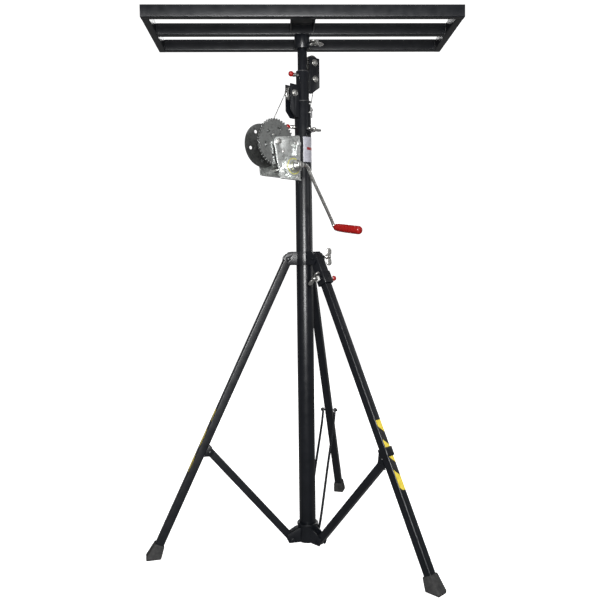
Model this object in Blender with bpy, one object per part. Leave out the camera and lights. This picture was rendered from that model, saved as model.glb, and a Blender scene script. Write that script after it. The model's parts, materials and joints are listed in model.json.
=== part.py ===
"""Crank lighting stand: a three-section mast on a folding tripod.

A hand winch pulls a cable over a pulley on the outer mast and lifts the middle mast.
A second cable, over a pulley on the middle mast, lifts the inner mast as far again.
The inner mast carries a platform of rectangular tube. Metres, +Z up, floor at z = 0,
mast axis through the origin.
"""
import math

import bmesh
import bpy
from mathutils import Matrix, Vector

# ---- driving dimensions, in metres and degrees ----------------------------------------
GAP = 0.0003                    # clearance kept between pieces that touch
ROUND = 24                      # facets on a mast tube

# mast sections: radius, wall, lower end, upper end
OUTER_R, OUTER_WALL, OUTER_Z0, OUTER_TOP = 0.030, 0.0025, 0.012, 1.592
MIDDLE_R, MIDDLE_WALL, MIDDLE_Z0, MIDDLE_TOP = 0.0235, 0.0025, 0.100, 1.700
INNER_R, INNER_WALL, INNER_Z0, INNER_TOP = 0.0170, 0.0020, 0.120, 1.824
GUIDE_HEIGHT = 0.030            # sliding guide on the foot of a moving section
CABLE_R = 0.0016
ANCHOR_TOP = 1.583              # top of the lug that holds the lift cable's fixed end

# tripod: three legs about the mast
LEG_AZIMUTHS = {"left": 192.6, "right": 312.6, "rear": 72.6}
LEG_SPREAD = 25.55              # degrees from vertical
LEG_SIZE, LEG_WALL = 0.029, 0.002
LEG_END = 1.122                 # from the pivot, along the leg
COLLAR_PIVOT = (0.062, 1.035)   # radius and height of a leg's pivot
COLLAR_Z0, COLLAR_Z1, COLLAR_R = 1.0135, 1.0615, 0.0370
HUB_PIVOT = (0.060, 0.014)      # radius and height of a brace's lower pivot
HUB_Z0, HUB_Z1 = 0.0035, 0.0700
LUG_T = 0.0035                  # thickness of every lug plate
BRACE_SIZE, BRACE_WALL = 0.025, 0.0018
BRACE_AT = 0.735                # brace pivot, from the leg's pivot along the leg
BRACE_OFFSET = 0.0278           # brace pivot, inward from the leg's axis
BRACE_OVERRUN = 0.004           # tube beyond each brace pivot
ROD_R, ROD_AT, ROD_SPACING = 0.004, 0.6937, 0.0250
SLEEVE_SIZE, SLEEVE_END = 0.037, 0.099
LOCK_SIZE, LOCK_Z0, LOCK_Z1 = 0.042, -0.099, -0.057
LEVEL_AT = -0.078               # knob and pin of the levelling leg, along its sleeve

# winch: u runs out from the mast, v along the shafts, z up
WINCH_AZIMUTH = 220.0
GEAR_TEETH, PINION_TEETH, MODULE = 44, 12, 0.0035
DRUM_U, DRUM_Z = 0.160, 1.428
CRANK_U, CRANK_Z = 0.100, 1.3505
DRUM_CORE_R, DRUM_FLANGE_R = 0.0200, 0.0750
DRUM_V0, DRUM_V1, FLANGE_T = -0.0375, 0.0360, 0.0025
GEAR_V0, GEAR_V1 = 0.0365, 0.0425
PLATE_T = 0.003
REAR_V, FRONT_V = -0.046, 0.052   # outer faces of the two side plates
BASE_U = 0.062
AXLE_R, SHAFT_R = 0.006, 0.008
ARM_V, ARM_R, HUB_R = 0.089, 0.006, 0.0190
GRIP_END_UZ = (-0.062, 1.148)     # where the arm ends and the grip's spindle starts
GRIP_V0, GRIP_V1, GRIP_R = 0.0095, 0.1330, 0.0150   # along the grip, from the arm's end
GRIP_TILT = 8.7                   # degrees that the grip droops below the shaft's direction

# cable pulleys: azimuth, centre radius, centre height, radius of the cable's centreline
LOWER_PULLEY = (220.0, 0.0510, 1.617, 0.0255)
UPPER_PULLEY = (40.0, 0.0455, 1.741, 0.0265)
LOWER_RIM_R, UPPER_RIM_R = 0.0267, 0.0277
PULLEY_HALF = 0.0085
ANCHOR_U = 0.0350               # the lift cable's fixed end, from the mast's axis
BRACKET_V0, BRACKET_V1 = 0.0110, 0.0145
BOLT_R = 0.004

# platform
PLATFORM_W, PLATFORM_D = 1.076, 0.340
RAIL_W, RAIL_WALL, RAIL_Z0, RAIL_Z1 = 0.025, 0.002, 1.830, 1.871
CHANNEL_HALF, CHANNEL_Z0, CHANNEL_WALL = 0.042, 1.8375, 0.004
SOCKET_R, SOCKET_Z0 = 0.0275, 1.781

# hand parts
KNOB_Z = {"mast": 1.489, "platform": 1.791, "collar": 1.0430}
PIN_Z = {"middle": 1.686, "mast": 1.507}
STEM_R, KNOB_SPAN = 0.004, 0.032
PIN_R, BARREL_R, BALL_R = 0.003, 0.0065, 0.0095
BOSS_R = 0.009

# name: colour, roughness, metallic
FINISHES = {
    "powder_black": ((0.020, 0.021, 0.024), 0.45, 0.3),
    "zinc": ((0.42, 0.43, 0.42), 0.40, 0.9),
    "bright_steel": ((0.62, 0.62, 0.62), 0.25, 1.0),
    "black_plastic": ((0.025, 0.025, 0.027), 0.55, 0.0),
    "red_plastic": ((0.60, 0.02, 0.02), 0.35, 0.0),
    "rubber": ((0.035, 0.035, 0.037), 0.80, 0.0),
    "wire": ((0.50, 0.50, 0.48), 0.40, 0.9),
}


# ---- helpers -----------------------------------------------------------------------------
def clear_scene():
    for obj in list(bpy.data.objects):
        bpy.data.objects.remove(obj, do_unlink=True)


def make_materials():
    for name, (colour, roughness, metallic) in FINISHES.items():
        mat = bpy.data.materials.new(name)
        mat.use_nodes = True
        shader = mat.node_tree.nodes["Principled BSDF"]
        shader.inputs["Base Color"].default_value = (*colour, 1.0)
        shader.inputs["Roughness"].default_value = roughness
        shader.inputs["Metallic"].default_value = metallic


def empty(name, location=(0, 0, 0), turn_z=0.0, turn_y=0.0, parent=None):
    """A parent frame: on an axis of the mechanism, turned about Z and then about Y."""
    obj = bpy.data.objects.new(name, None)
    bpy.context.scene.collection.objects.link(obj)
    obj.parent = parent
    obj.location = location
    obj.rotation_euler = (0.0, math.radians(turn_y), math.radians(turn_z))
    return obj


def place(name, data, finish, parent=None, location=(0, 0, 0), turn=(0, 0, 0)):
    """Put a mesh or a curve into the scene under its node's name."""
    obj = bpy.data.objects.new(name, data)
    bpy.context.scene.collection.objects.link(obj)
    if finish:
        mat = bpy.data.materials[finish].copy()
        mat.name = name + "_" + finish
        data.materials.append(mat)
    obj.parent = parent
    obj.location = location
    obj.rotation_euler = [math.radians(a) for a in turn]
    return obj


def to_mesh(bm, name, sharp=30):
    bmesh.ops.recalc_face_normals(bm, faces=bm.faces)
    mesh = bpy.data.meshes.new(name)
    bm.to_mesh(mesh)
    bm.free()
    mesh.shade_smooth()
    mesh.set_sharp_from_angle(angle=math.radians(sharp))
    return mesh


def turned(profile, steps=24, axis="Z"):
    """A closed profile of (radius, height) points spun a full turn about an axis."""
    bm = bmesh.new()
    verts = [bm.verts.new((r, 0.0, h)) for r, h in profile]
    edges = [bm.edges.new((verts[i], verts[(i + 1) % len(verts)])) for i in range(len(verts))]
    bmesh.ops.spin(bm, geom=verts + edges, cent=(0, 0, 0), axis=(0, 0, 1),
                   angle=math.tau, steps=steps, use_merge=True)
    bmesh.ops.remove_doubles(bm, verts=bm.verts, dist=1e-7)
    on_axis = [e for e in bm.edges if e.calc_length() < 1e-7]
    bmesh.ops.delete(bm, geom=on_axis, context="EDGES")
    wires = [e for e in bm.edges if not e.link_faces]
    bmesh.ops.delete(bm, geom=wires, context="EDGES")
    aim_along(bm, axis)
    return bm


def aim_along(bm, axis):
    """Turn a shape made along +Z so that it runs along +X, +Y, -Y or -Z."""
    turns = {"Z": Matrix.Identity(3), "X": Matrix.Rotation(math.pi / 2, 3, "Y"),
             "Y": Matrix.Rotation(-math.pi / 2, 3, "X"), "-Y": Matrix.Rotation(math.pi / 2, 3, "X")}
    bmesh.ops.rotate(bm, verts=bm.verts, cent=(0, 0, 0), matrix=turns[axis])


def tube(r_out, r_in, z0, z1, steps=24, axis="Z"):
    return turned([(r_out, z0), (r_out, z1), (r_in, z1), (r_in, z0)], steps, axis)


def rod(radius, z0, z1, steps=16, axis="Z"):
    """A solid cylinder from z0 to z1."""
    bm = bmesh.new()
    bmesh.ops.create_cone(bm, cap_ends=True, segments=steps, radius1=radius, radius2=radius,
                          depth=z1 - z0)
    bmesh.ops.translate(bm, verts=bm.verts, vec=(0, 0, (z0 + z1) / 2))
    aim_along(bm, axis)
    return bm


def block(x0, x1, y0, y1, z0, z1):
    bm = bmesh.new()
    bmesh.ops.create_cube(bm, size=1.0)
    bmesh.ops.scale(bm, verts=bm.verts, vec=(x1 - x0, y1 - y0, z1 - z0))
    bmesh.ops.translate(bm, verts=bm.verts, vec=((x0 + x1) / 2, (y0 + y1) / 2, (z0 + z1) / 2))
    return bm


def extruded(outline, low, high, axis="Y"):
    """An outline pulled from low to high: (x, z) points along Y, or (x, y) points along Z."""
    bm = bmesh.new()
    if axis == "Y":
        verts = [bm.verts.new((x, low, z)) for x, z in outline]
        step = (0, high - low, 0)
    else:
        verts = [bm.verts.new((x, y, low)) for x, y in outline]
        step = (0, 0, high - low)
    face = bm.faces.new(verts)
    moved = bmesh.ops.extrude_face_region(bm, geom=[face])["geom"]
    bmesh.ops.translate(bm, verts=[g for g in moved if isinstance(g, bmesh.types.BMVert)], vec=step)
    return bm


def box_tube(width_x, width_y, wall, z0, z1):
    """Rectangular tube along Z, open at both ends."""
    bm = bmesh.new()
    rings = []
    for inset, z in ((0, z0), (0, z1), (wall, z1), (wall, z0)):
        x, y = width_x / 2 - inset, width_y / 2 - inset
        rings.append([bm.verts.new(c) for c in ((x, y, z), (-x, y, z), (-x, -y, z), (x, -y, z))])
    for k, ring in enumerate(rings):
        nxt = rings[(k + 1) % len(rings)]
        for i in range(4):
            bm.faces.new((ring[i], ring[(i + 1) % 4], nxt[(i + 1) % 4], nxt[i]))
    return bm


def guide(name, bm, parent=None, location=(0, 0, 0), turn=(0, 0, 0)):
    """A shape that is only added to or cut from another one."""
    obj = place(name, to_mesh(bm, name), None, parent, location, turn)
    obj.hide_render = True
    obj.display_type = "WIRE"
    return obj


def combine(obj, tool, operation):
    mod = obj.modifiers.new(operation.lower() + "_" + tool.name, "BOOLEAN")
    mod.operation = operation
    mod.object = tool
    return obj


def arc(cx, cz, radius, start, end, steps):
    """Points on a round stretch of an outline, angles in degrees."""
    angles = [math.radians(start + (end - start) * i / steps) for i in range(steps + 1)]
    return [(cx + radius * math.cos(a), cz + radius * math.sin(a)) for a in angles]


def wire_curve(name, points, radius, resolution=2):
    """A round bar or a cable along a list of points."""
    curve = bpy.data.curves.new(name, "CURVE")
    curve.dimensions = "3D"
    curve.bevel_depth = radius
    curve.bevel_resolution = resolution
    curve.use_fill_caps = True
    spline = curve.splines.new("POLY")
    spline.points.add(len(points) - 1)
    for point, co in zip(spline.points, points):
        point.co = (*co, 1.0)
    return curve


# ---- mast --------------------------------------------------------------------------------
def add_boss(obj, name, parent, z, r_from, r_to, hole_r, x_reach):
    """Weld a threaded boss to a tube and drill it, along the parent's +X."""
    combine(obj, guide(name + "_boss", rod(BOSS_R, r_from, r_to, 16, "X"), parent, (0, 0, z)), "UNION")
    combine(obj, guide(name + "_hole", rod(hole_r, x_reach, r_to + 0.01, 12, "X"), parent, (0, 0, z)),
            "DIFFERENCE")


def build_outer_mast(knob_frame, pin_frame):
    inner = OUTER_R - OUTER_WALL
    mast = place("outer_mast", to_mesh(tube(OUTER_R, inner, OUTER_Z0, OUTER_TOP, ROUND), "outer_mast"),
                 "powder_black")
    add_boss(mast, "mast_knob", knob_frame, KNOB_Z["mast"], inner + 0.001, 0.040, STEM_R + GAP, 0.020)
    combine(mast, guide("mast_pin_hole", rod(PIN_R + GAP, 0.020, 0.040, 12, "X"), pin_frame,
                        (0, 0, PIN_Z["mast"])), "DIFFERENCE")
    plug = [(0, 0), (OUTER_R, 0), (OUTER_R, OUTER_Z0 - GAP), (inner - GAP, OUTER_Z0 - GAP),
            (inner - GAP, 0.045), (0, 0.045)]
    place("mast_foot_plug", to_mesh(turned(plug, ROUND), "mast_foot_plug"), "rubber")
    bush = [(MIDDLE_R + GAP, 1.556), (inner - GAP, 1.556), (inner - GAP, OUTER_TOP + GAP),
            (OUTER_R, OUTER_TOP + GAP), (OUTER_R, OUTER_TOP + 0.005), (MIDDLE_R + GAP, OUTER_TOP + 0.005)]
    bush_obj = place("outer_mast_bush", to_mesh(turned(bush, ROUND), "outer_mast_bush"), "black_plastic")
    notch = empty("winch_cable_side", turn_z=LOWER_PULLEY[0])
    combine(bush_obj, guide("outer_bush_notch", block(0.020, 0.035, -0.0035, 0.0035, 1.54, 1.61), notch),
            "DIFFERENCE")


def build_middle_mast(pin_frame):
    inner = MIDDLE_R - MIDDLE_WALL
    body = tube(MIDDLE_R, inner, MIDDLE_Z0, MIDDLE_TOP, ROUND)
    mast = place("middle_mast", to_mesh(body, "middle_mast"), "powder_black")
    combine(mast, guide("middle_pin_hole", rod(PIN_R + GAP, 0.015, 0.030, 12, "X"), pin_frame,
                        (0, 0, PIN_Z["middle"])), "DIFFERENCE")
    ring = tube(OUTER_R - OUTER_WALL - GAP, MIDDLE_R + GAP, MIDDLE_Z0, MIDDLE_Z0 + GUIDE_HEIGHT, ROUND)
    place("middle_mast_guide", to_mesh(ring, "middle_mast_guide"), "black_plastic")
    bush = [(INNER_R + GAP, 1.660), (inner - GAP, 1.660), (inner - GAP, MIDDLE_TOP + GAP),
            (MIDDLE_R, MIDDLE_TOP + GAP), (MIDDLE_R, MIDDLE_TOP + 0.004), (INNER_R + GAP, MIDDLE_TOP + 0.004)]
    bush_obj = place("middle_mast_bush", to_mesh(turned(bush, ROUND), "middle_mast_bush"), "black_plastic")
    notch = empty("lift_cable_side", turn_z=UPPER_PULLEY[0])
    combine(bush_obj, guide("middle_bush_notch", block(0.012, 0.030, -0.0035, 0.0035, 1.65, 1.71), notch),
            "DIFFERENCE")


def build_inner_mast():
    place("inner_mast", to_mesh(tube(INNER_R, INNER_R - INNER_WALL, INNER_Z0, INNER_TOP, ROUND),
                                "inner_mast"), "powder_black")
    ring = tube(MIDDLE_R - MIDDLE_WALL - GAP, INNER_R + GAP, INNER_Z0, INNER_Z0 + GUIDE_HEIGHT, ROUND)
    place("inner_mast_guide", to_mesh(ring, "inner_mast_guide"), "black_plastic")


# ---- pulleys and cables ---------------------------------------------------------------------
def hex_bolt(half_grip, head, radius, across):
    """A bolt along Y: shank, and a hexagon at each end outside the grip."""
    bm = rod(radius, -half_grip - head / 2, half_grip + head / 2, 12, "Y")
    return bm, [(-half_grip - head, -half_grip), (half_grip, half_grip + head)], across / math.sqrt(3)


def place_bolt(name, parent, location, half_grip, head=0.006, radius=BOLT_R, across=0.013):
    bm, spans, hex_r = hex_bolt(half_grip, head, radius, across)
    bolt = place(name, to_mesh(bm, name), "bright_steel", parent, location)
    for side, (low, high) in zip("ab", spans):
        tip = guide(name + "_hex_" + side, rod(hex_r, low, high, 6, "Y"), parent, location)
        combine(bolt, tip, "UNION")
    return bolt


def pulley_mesh(name, groove_r, flange_r):
    floor = groove_r - CABLE_R - GAP
    half = PULLEY_HALF
    profile = [(BOLT_R + GAP, -half), (flange_r, -half), (flange_r, -half + 0.002), (floor, -0.0022),
               (floor, 0.0022), (flange_r, half - 0.002), (flange_r, half), (BOLT_R + GAP, half)]
    return to_mesh(turned(profile, ROUND, "Y"), name)


def build_bracket(name, parent, outline, web, bolt_uz):
    """Two side plates joined by a web that lies against the tube."""
    u0, u1, z0, z1 = web
    body = place(name, to_mesh(block(u0, u1, -BRACKET_V1 + 0.001, BRACKET_V1 - 0.001, z0, z1), name),
                 "powder_black", parent)
    for side, low in (("front", BRACKET_V0), ("back", -BRACKET_V1)):
        plate = extruded(outline, low, low + BRACKET_V1 - BRACKET_V0)
        combine(body, guide(name + "_" + side, plate, parent), "UNION")
    drill = rod(BOLT_R + GAP, -0.03, 0.03, 12, "Y")
    combine(body, guide(name + "_hole", drill, parent, (bolt_uz[0], 0, bolt_uz[1])), "DIFFERENCE")


def build_pulleys():
    azimuth, u, z, groove = LOWER_PULLEY
    side = empty("lower_pulley_side", turn_z=azimuth)
    outline = [(0.0288, 1.534), (0.050, 1.534), (0.0700, 1.556), (0.0700, 1.648), (0.0288, 1.648)]
    build_bracket("lower_pulley_bracket", side, outline, (0.0303, 0.0333, 1.537, 1.588), (u, z))
    place("lower_pulley", pulley_mesh("lower_pulley", groove, LOWER_RIM_R), "bright_steel", side, (u, 0, z))
    place_bolt("lower_pulley_bolt", side, (u, 0, z), BRACKET_V1 + GAP)
    azimuth, u, z, groove = UPPER_PULLEY
    side = empty("upper_pulley_side", turn_z=azimuth)
    outline = [(0.0217, 1.628), (0.030, 1.628), (0.0705, 1.656), (0.0705, 1.760), (0.0217, 1.760)]
    build_bracket("upper_pulley_bracket", side, outline, (0.0238, 0.0268, 1.631, 1.695), (u, z))
    place("upper_pulley", pulley_mesh("upper_pulley", groove, UPPER_RIM_R), "bright_steel", side, (u, 0, z))
    place_bolt("upper_pulley_bolt", side, (u, 0, z), BRACKET_V1 + GAP)


def cable_leaves_drum():
    """Where the straight cable touches the lower pulley and the drum, as angles from +u."""
    _, pu, pz, pr = LOWER_PULLEY
    du, dz = DRUM_U - pu, DRUM_Z - pz
    drum_r = DRUM_CORE_R + CABLE_R + GAP
    angle = math.atan2(dz, du) + math.acos((pr - drum_r) / math.hypot(du, dz))
    return angle, drum_r


def build_cables():
    azimuth, pu, pz, pr = LOWER_PULLEY
    side = bpy.data.objects["lower_pulley_side"]
    angle, drum_r = cable_leaves_drum()
    start = (DRUM_U + drum_r * math.cos(angle), 0, DRUM_Z + drum_r * math.sin(angle))
    wrap = [(pu + pr * math.cos(a), 0, pz + pr * math.sin(a))
            for a in [angle + (math.pi - angle) * i / 14 for i in range(15)]]
    place("winch_cable", wire_curve("winch_cable", [start] + wrap, CABLE_R), "wire", side)
    drop_top = pz - GAP
    drop = [(pu - pr, 0, drop_top), (pu - pr, 0, MIDDLE_Z0 + GUIDE_HEIGHT + GAP)]
    place("winch_cable_drop", wire_curve("winch_cable_drop", drop, CABLE_R), "wire", side)

    azimuth, pu, pz, pr = UPPER_PULLEY
    side = bpy.data.objects["upper_pulley_side"]
    anchor = guide("cable_anchor", block(OUTER_R - 0.0015, 0.0400, -0.007, 0.007, 1.545, ANCHOR_TOP), side)
    combine(bpy.data.objects["outer_mast"], anchor, "UNION")
    foot = (ANCHOR_U, ANCHOR_TOP)
    away_u, away_z = foot[0] - pu, foot[1] - pz
    touch = math.atan2(away_z, away_u) + math.acos(pr / math.hypot(away_u, away_z))
    slack = 3 * GAP                 # the run leans, so its ends need more room
    run = [(foot[0], 0, foot[1] + slack), (pu + pr * math.cos(touch), 0, pz + pr * math.sin(touch) - slack)]
    place("lift_cable", wire_curve("lift_cable", run, CABLE_R), "wire", side)
    over = [(pu + pr * math.cos(a), 0, pz + pr * math.sin(a))
            for a in [touch + (math.pi - touch) * i / 16 for i in range(17)]]
    place("lift_cable_bend", wire_curve("lift_cable_bend", over, CABLE_R), "wire", side)
    drop = [(pu - pr, 0, pz - GAP), (pu - pr, 0, INNER_Z0 + GUIDE_HEIGHT + GAP)]
    place("lift_cable_drop", wire_curve("lift_cable_drop", drop, CABLE_R), "wire", side)


# ---- winch ----------------------------------------------------------------------------------
def gear_outline(teeth, module):
    """Straight-flanked teeth: root, flank, tip, tip, flank, root for each tooth."""
    pitch = module * teeth / 2
    tip, root = pitch + 0.85 * module, pitch - 1.15 * module
    step = math.tau / teeth
    points = []
    for k in range(teeth):
        for offset, radius in ((-0.36, root), (-0.11, tip), (0.11, tip), (0.36, root)):
            a = (k + offset) * step
            points.append((radius * math.cos(a), radius * math.sin(a)))
    return points


def mesh_angle(du, dz, teeth, half_tooth):
    """Turn a gear so that a tooth, or a gap, points along (du, dz)."""
    toward = math.degrees(math.atan2(dz, du))
    return toward + (180.0 / teeth if half_tooth else 0.0)


def gear_body(teeth, low, high):
    return extruded(gear_outline(teeth, MODULE), low, high, "Y")


def side_plate_outline(bottom, lower_u):
    """A winch side plate: upright at the mast, rounded round the drum's axle."""
    nose = arc(DRUM_U, DRUM_Z, 0.0165, 0.0, 84.0, 6)
    corner = arc(lower_u - 0.006, bottom + 0.006, 0.006, -90.0, 0.0, 3)
    top = arc(BASE_U + 0.008, 1.452, 0.008, 90.0, 180.0, 3)
    return [(BASE_U, bottom)] + corner + nose + top


def build_winch_frame(frame):
    mount = [(0.0250, 0.018), (0.0577, 0.018), (0.0577, -0.018), (0.0250, -0.018), (0.0250, -0.022),
             (0.0617, -0.022), (0.0617, 0.022), (0.0250, 0.022)]
    place("winch_mount", to_mesh(extruded(mount, 1.325, 1.445, "Z"), "winch_mount"), "powder_black", frame)
    base = block(BASE_U, BASE_U + PLATE_T, REAR_V + 0.001, FRONT_V - 0.001, 1.330, 1.452)
    body = place("winch_frame", to_mesh(base, "winch_frame"), "zinc", frame)
    front = extruded(side_plate_outline(1.305, 0.1545), FRONT_V - PLATE_T, FRONT_V)
    rear = extruded(side_plate_outline(1.325, 0.1640), REAR_V, REAR_V + PLATE_T)
    front_lip = block(BASE_U + 0.004, 0.150, FRONT_V - 0.001, FRONT_V + 0.009, 1.305, 1.308)
    rear_lip = block(BASE_U + 0.004, 0.160, REAR_V + 0.001, REAR_V + 0.018, 1.325, 1.328)
    for name, bm in (("front", front), ("rear", rear), ("front_lip", front_lip), ("rear_lip", rear_lip)):
        combine(body, guide("winch_frame_" + name, bm, frame), "UNION")
    for name, radius, u, z in (("axle", AXLE_R, DRUM_U, DRUM_Z), ("shaft", SHAFT_R, CRANK_U, CRANK_Z)):
        drill = rod(radius + GAP, -0.08, 0.08, 16, "Y")
        combine(body, guide("winch_frame_hole_" + name, drill, frame, (u, 0, z)), "DIFFERENCE")


def build_drum(frame):
    centre = (DRUM_U, 0, DRUM_Z)
    bore = AXLE_R + GAP
    profile = [(bore, DRUM_V0), (DRUM_FLANGE_R, DRUM_V0), (DRUM_FLANGE_R, DRUM_V0 + FLANGE_T),
               (DRUM_CORE_R, DRUM_V0 + FLANGE_T), (DRUM_CORE_R, DRUM_V1 - FLANGE_T),
               (DRUM_FLANGE_R, DRUM_V1 - FLANGE_T), (DRUM_FLANGE_R, DRUM_V1), (bore, DRUM_V1)]
    place("winch_drum", to_mesh(turned(profile, 30, "Y"), "winch_drum"), "zinc", frame, centre)
    du, dz = CRANK_U - DRUM_U, CRANK_Z - DRUM_Z
    turn = -mesh_angle(du, dz, GEAR_TEETH, False)
    gear = place("drum_gear", to_mesh(gear_body(GEAR_TEETH, GEAR_V0, GEAR_V1), "drum_gear"), "zinc",
                 frame, centre, (0, turn, 0))
    drill = rod(bore, 0, 0.06, 16, "Y")
    combine(gear, guide("drum_gear_bore", drill, frame, centre), "DIFFERENCE")
    axle = rod(AXLE_R, REAR_V - 0.006, FRONT_V + 0.006, 16, "Y")
    axle_obj = place("drum_axle", to_mesh(axle, "drum_axle"), "bright_steel", frame, centre)
    for side, low in (("a", FRONT_V + GAP), ("b", REAR_V - GAP - 0.007)):
        nut = guide("drum_axle_nut_" + side, rod(0.0108, low, low + 0.007, 6, "Y"), frame, centre)
        combine(axle_obj, nut, "UNION")


def build_crank(frame):
    centre = (CRANK_U, 0, CRANK_Z)
    shaft = rod(SHAFT_R, REAR_V - 0.008, FRONT_V + 0.030, 16, "Y")
    body = place("crank_pinion", to_mesh(shaft, "crank_pinion"), "bright_steel", frame, centre)
    du, dz = DRUM_U - CRANK_U, DRUM_Z - CRANK_Z
    turn = -mesh_angle(du, dz, PINION_TEETH, True)
    teeth = gear_body(PINION_TEETH, GEAR_V0 + GAP, GEAR_V1 + 0.003)
    combine(body, guide("crank_pinion_teeth", teeth, frame, centre, (0, turn, 0)), "UNION")

    disc_v0, disc_v1 = FRONT_V + 0.0010, FRONT_V + 0.0085
    notches = 20
    points = []
    for k in range(notches):
        for offset, radius in ((0.0, 0.0370), (0.85, 0.0335)):
            a = -(k + offset) * math.tau / notches
            points.append((radius * math.cos(a), radius * math.sin(a)))
    disc = place("brake_disc", to_mesh(extruded(points, disc_v0, disc_v1), "brake_disc"), "zinc",
                 frame, centre)
    drill = rod(SHAFT_R + GAP, 0.04, 0.08, 16, "Y")
    combine(disc, guide("brake_disc_bore", drill, frame, centre), "DIFFERENCE")

    hub_v0, hub_v1 = disc_v1 + GAP, ARM_V - 0.002
    hub = [(SHAFT_R + GAP, hub_v0), (HUB_R, hub_v0), (HUB_R, hub_v1 - 0.005), (HUB_R - 0.004, hub_v1),
           (SHAFT_R + GAP, hub_v1)]
    reach_u, reach_z = GRIP_END_UZ[0] - CRANK_U, GRIP_END_UZ[1] - CRANK_Z
    arm = place("crank_arm", to_mesh(turned(hub, 24, "Y"), "crank_arm"), "bright_steel", frame, centre)
    bar = [(-0.012, ARM_V, 0.003), (-0.028, ARM_V, 0.001), (-0.038, ARM_V, -0.005),
           (-0.046, ARM_V, -0.015), (-0.053, ARM_V, -0.029), (reach_u + 0.003, ARM_V, reach_z + 0.008),
           (reach_u, ARM_V + 0.003, reach_z), (reach_u, ARM_V + 0.008, reach_z - 0.0008)]
    combine(arm, guide("crank_arm_bar", bar_mesh(bar, ARM_R), frame, centre), "UNION")
    tip, tilt = (GRIP_END_UZ[0], ARM_V, GRIP_END_UZ[1]), (-GRIP_TILT, 0, 0)
    spindle = rod(STEM_R, 0.0, GRIP_V1 - 0.012, 12, "Y")
    combine(arm, guide("crank_spindle", spindle, frame, tip, tilt), "UNION")
    bore = STEM_R + GAP
    grip = [(0, GRIP_V1), (0.009, GRIP_V1 - 0.001), (0.0135, GRIP_V1 - 0.005), (GRIP_R, GRIP_V1 - 0.012),
            (GRIP_R, GRIP_V0 + 0.030), (0.0135, GRIP_V0 + 0.008), (0.0120, GRIP_V0), (bore, GRIP_V0),
            (bore, GRIP_V1 - 0.011), (0, GRIP_V1 - 0.011)]
    place("crank_grip", to_mesh(turned(grip, 20, "Y"), "crank_grip"), "red_plastic", frame, tip, tilt)


def bar_mesh(points, radius, sides=12):
    """A round bar swept along points that lie close to one plane."""
    bm = bmesh.new()
    rings = []
    for i, point in enumerate(points):
        ahead = Vector(points[min(i + 1, len(points) - 1)]) - Vector(points[max(i - 1, 0)])
        turn = ahead.to_track_quat("Z", "Y").to_matrix()
        ring = []
        for k in range(sides):
            a = math.tau * k / sides
            offset = turn @ Vector((radius * math.cos(a), radius * math.sin(a), 0))
            ring.append(bm.verts.new(Vector(point) + offset))
        rings.append(ring)
    for low, high in zip(rings, rings[1:]):
        for k in range(sides):
            bm.faces.new((low[k], low[(k + 1) % sides], high[(k + 1) % sides], high[k]))
    bm.faces.new(rings[0])
    bm.faces.new(rings[-1])
    return bm


def build_pawl(frame):
    """A ratchet pawl on the front plate, resting just clear of the brake disc's teeth."""
    pivot = (0.0740, 0, 1.4300)
    outline = [(-0.008, -0.004), (0.006, -0.040), (0.013, -0.040), (0.009, -0.004)]
    outline += arc(0, 0, 0.009, 0, 180, 6)[1:-1]
    body = extruded(outline, FRONT_V + 0.0010, FRONT_V + 0.0060)
    pawl = place("pawl", to_mesh(body, "pawl"), "zinc", frame, pivot)
    head = rod(0.0075, FRONT_V + 0.0010, FRONT_V + 0.0110, 16, "Y")
    combine(pawl, guide("pawl_head", head, frame, pivot), "UNION")


# ---- platform -------------------------------------------------------------------------------
def lay_rail(name, length, parent, location, turn):
    height = RAIL_Z1 - RAIL_Z0
    rail = box_tube(height, RAIL_W, RAIL_WALL, -length / 2, length / 2)
    place(name, to_mesh(rail, name), "powder_black", parent, location, turn)


def build_platform(frame, knob_frame):
    z = (RAIL_Z0 + RAIL_Z1) / 2
    front_y = -PLATFORM_D / 2 + RAIL_W / 2
    inside = PLATFORM_W - 2 * RAIL_W - 2 * GAP
    lay_rail("front_rail", PLATFORM_W, frame, (0, front_y, z), (0, 90, 0))
    lay_rail("middle_rail", inside, frame, (0, 0, z), (0, 90, 0))
    lay_rail("rear_rail", inside, frame, (0, -front_y, z), (0, 90, 0))
    side_length = PLATFORM_D - RAIL_W - GAP
    side_x = (PLATFORM_W - RAIL_W) / 2
    for name, x in (("left_side_rail", -side_x), ("right_side_rail", side_x)):
        lay_rail(name, side_length, frame, (x, (RAIL_W + GAP) / 2, z), (0, 90, 90))
    half, wall = CHANNEL_HALF, CHANNEL_WALL
    section = [(-half, CHANNEL_Z0), (-half, RAIL_Z1), (half, RAIL_Z1), (half, CHANNEL_Z0),
               (half - wall, CHANNEL_Z0), (half - wall, RAIL_Z1 - wall), (-half + wall, RAIL_Z1 - wall),
               (-half + wall, CHANNEL_Z0)]
    channel = extruded(section, front_y + RAIL_W / 2 + GAP, -RAIL_W / 2 - GAP)
    place("head_channel", to_mesh(channel, "head_channel"), "powder_black", frame)
    bore = INNER_R + GAP
    top = RAIL_Z0 - GAP
    profile = [(0, top), (SOCKET_R, top), (SOCKET_R, SOCKET_Z0), (bore, SOCKET_Z0), (bore, top - 0.005),
               (0, top - 0.005)]
    socket = place("platform_socket", to_mesh(turned(profile, ROUND), "platform_socket"), "powder_black",
                   frame)
    add_boss(socket, "platform_knob", knob_frame, KNOB_Z["platform"], SOCKET_R - 0.004, 0.037,
             STEM_R + GAP, 0.012)


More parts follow.
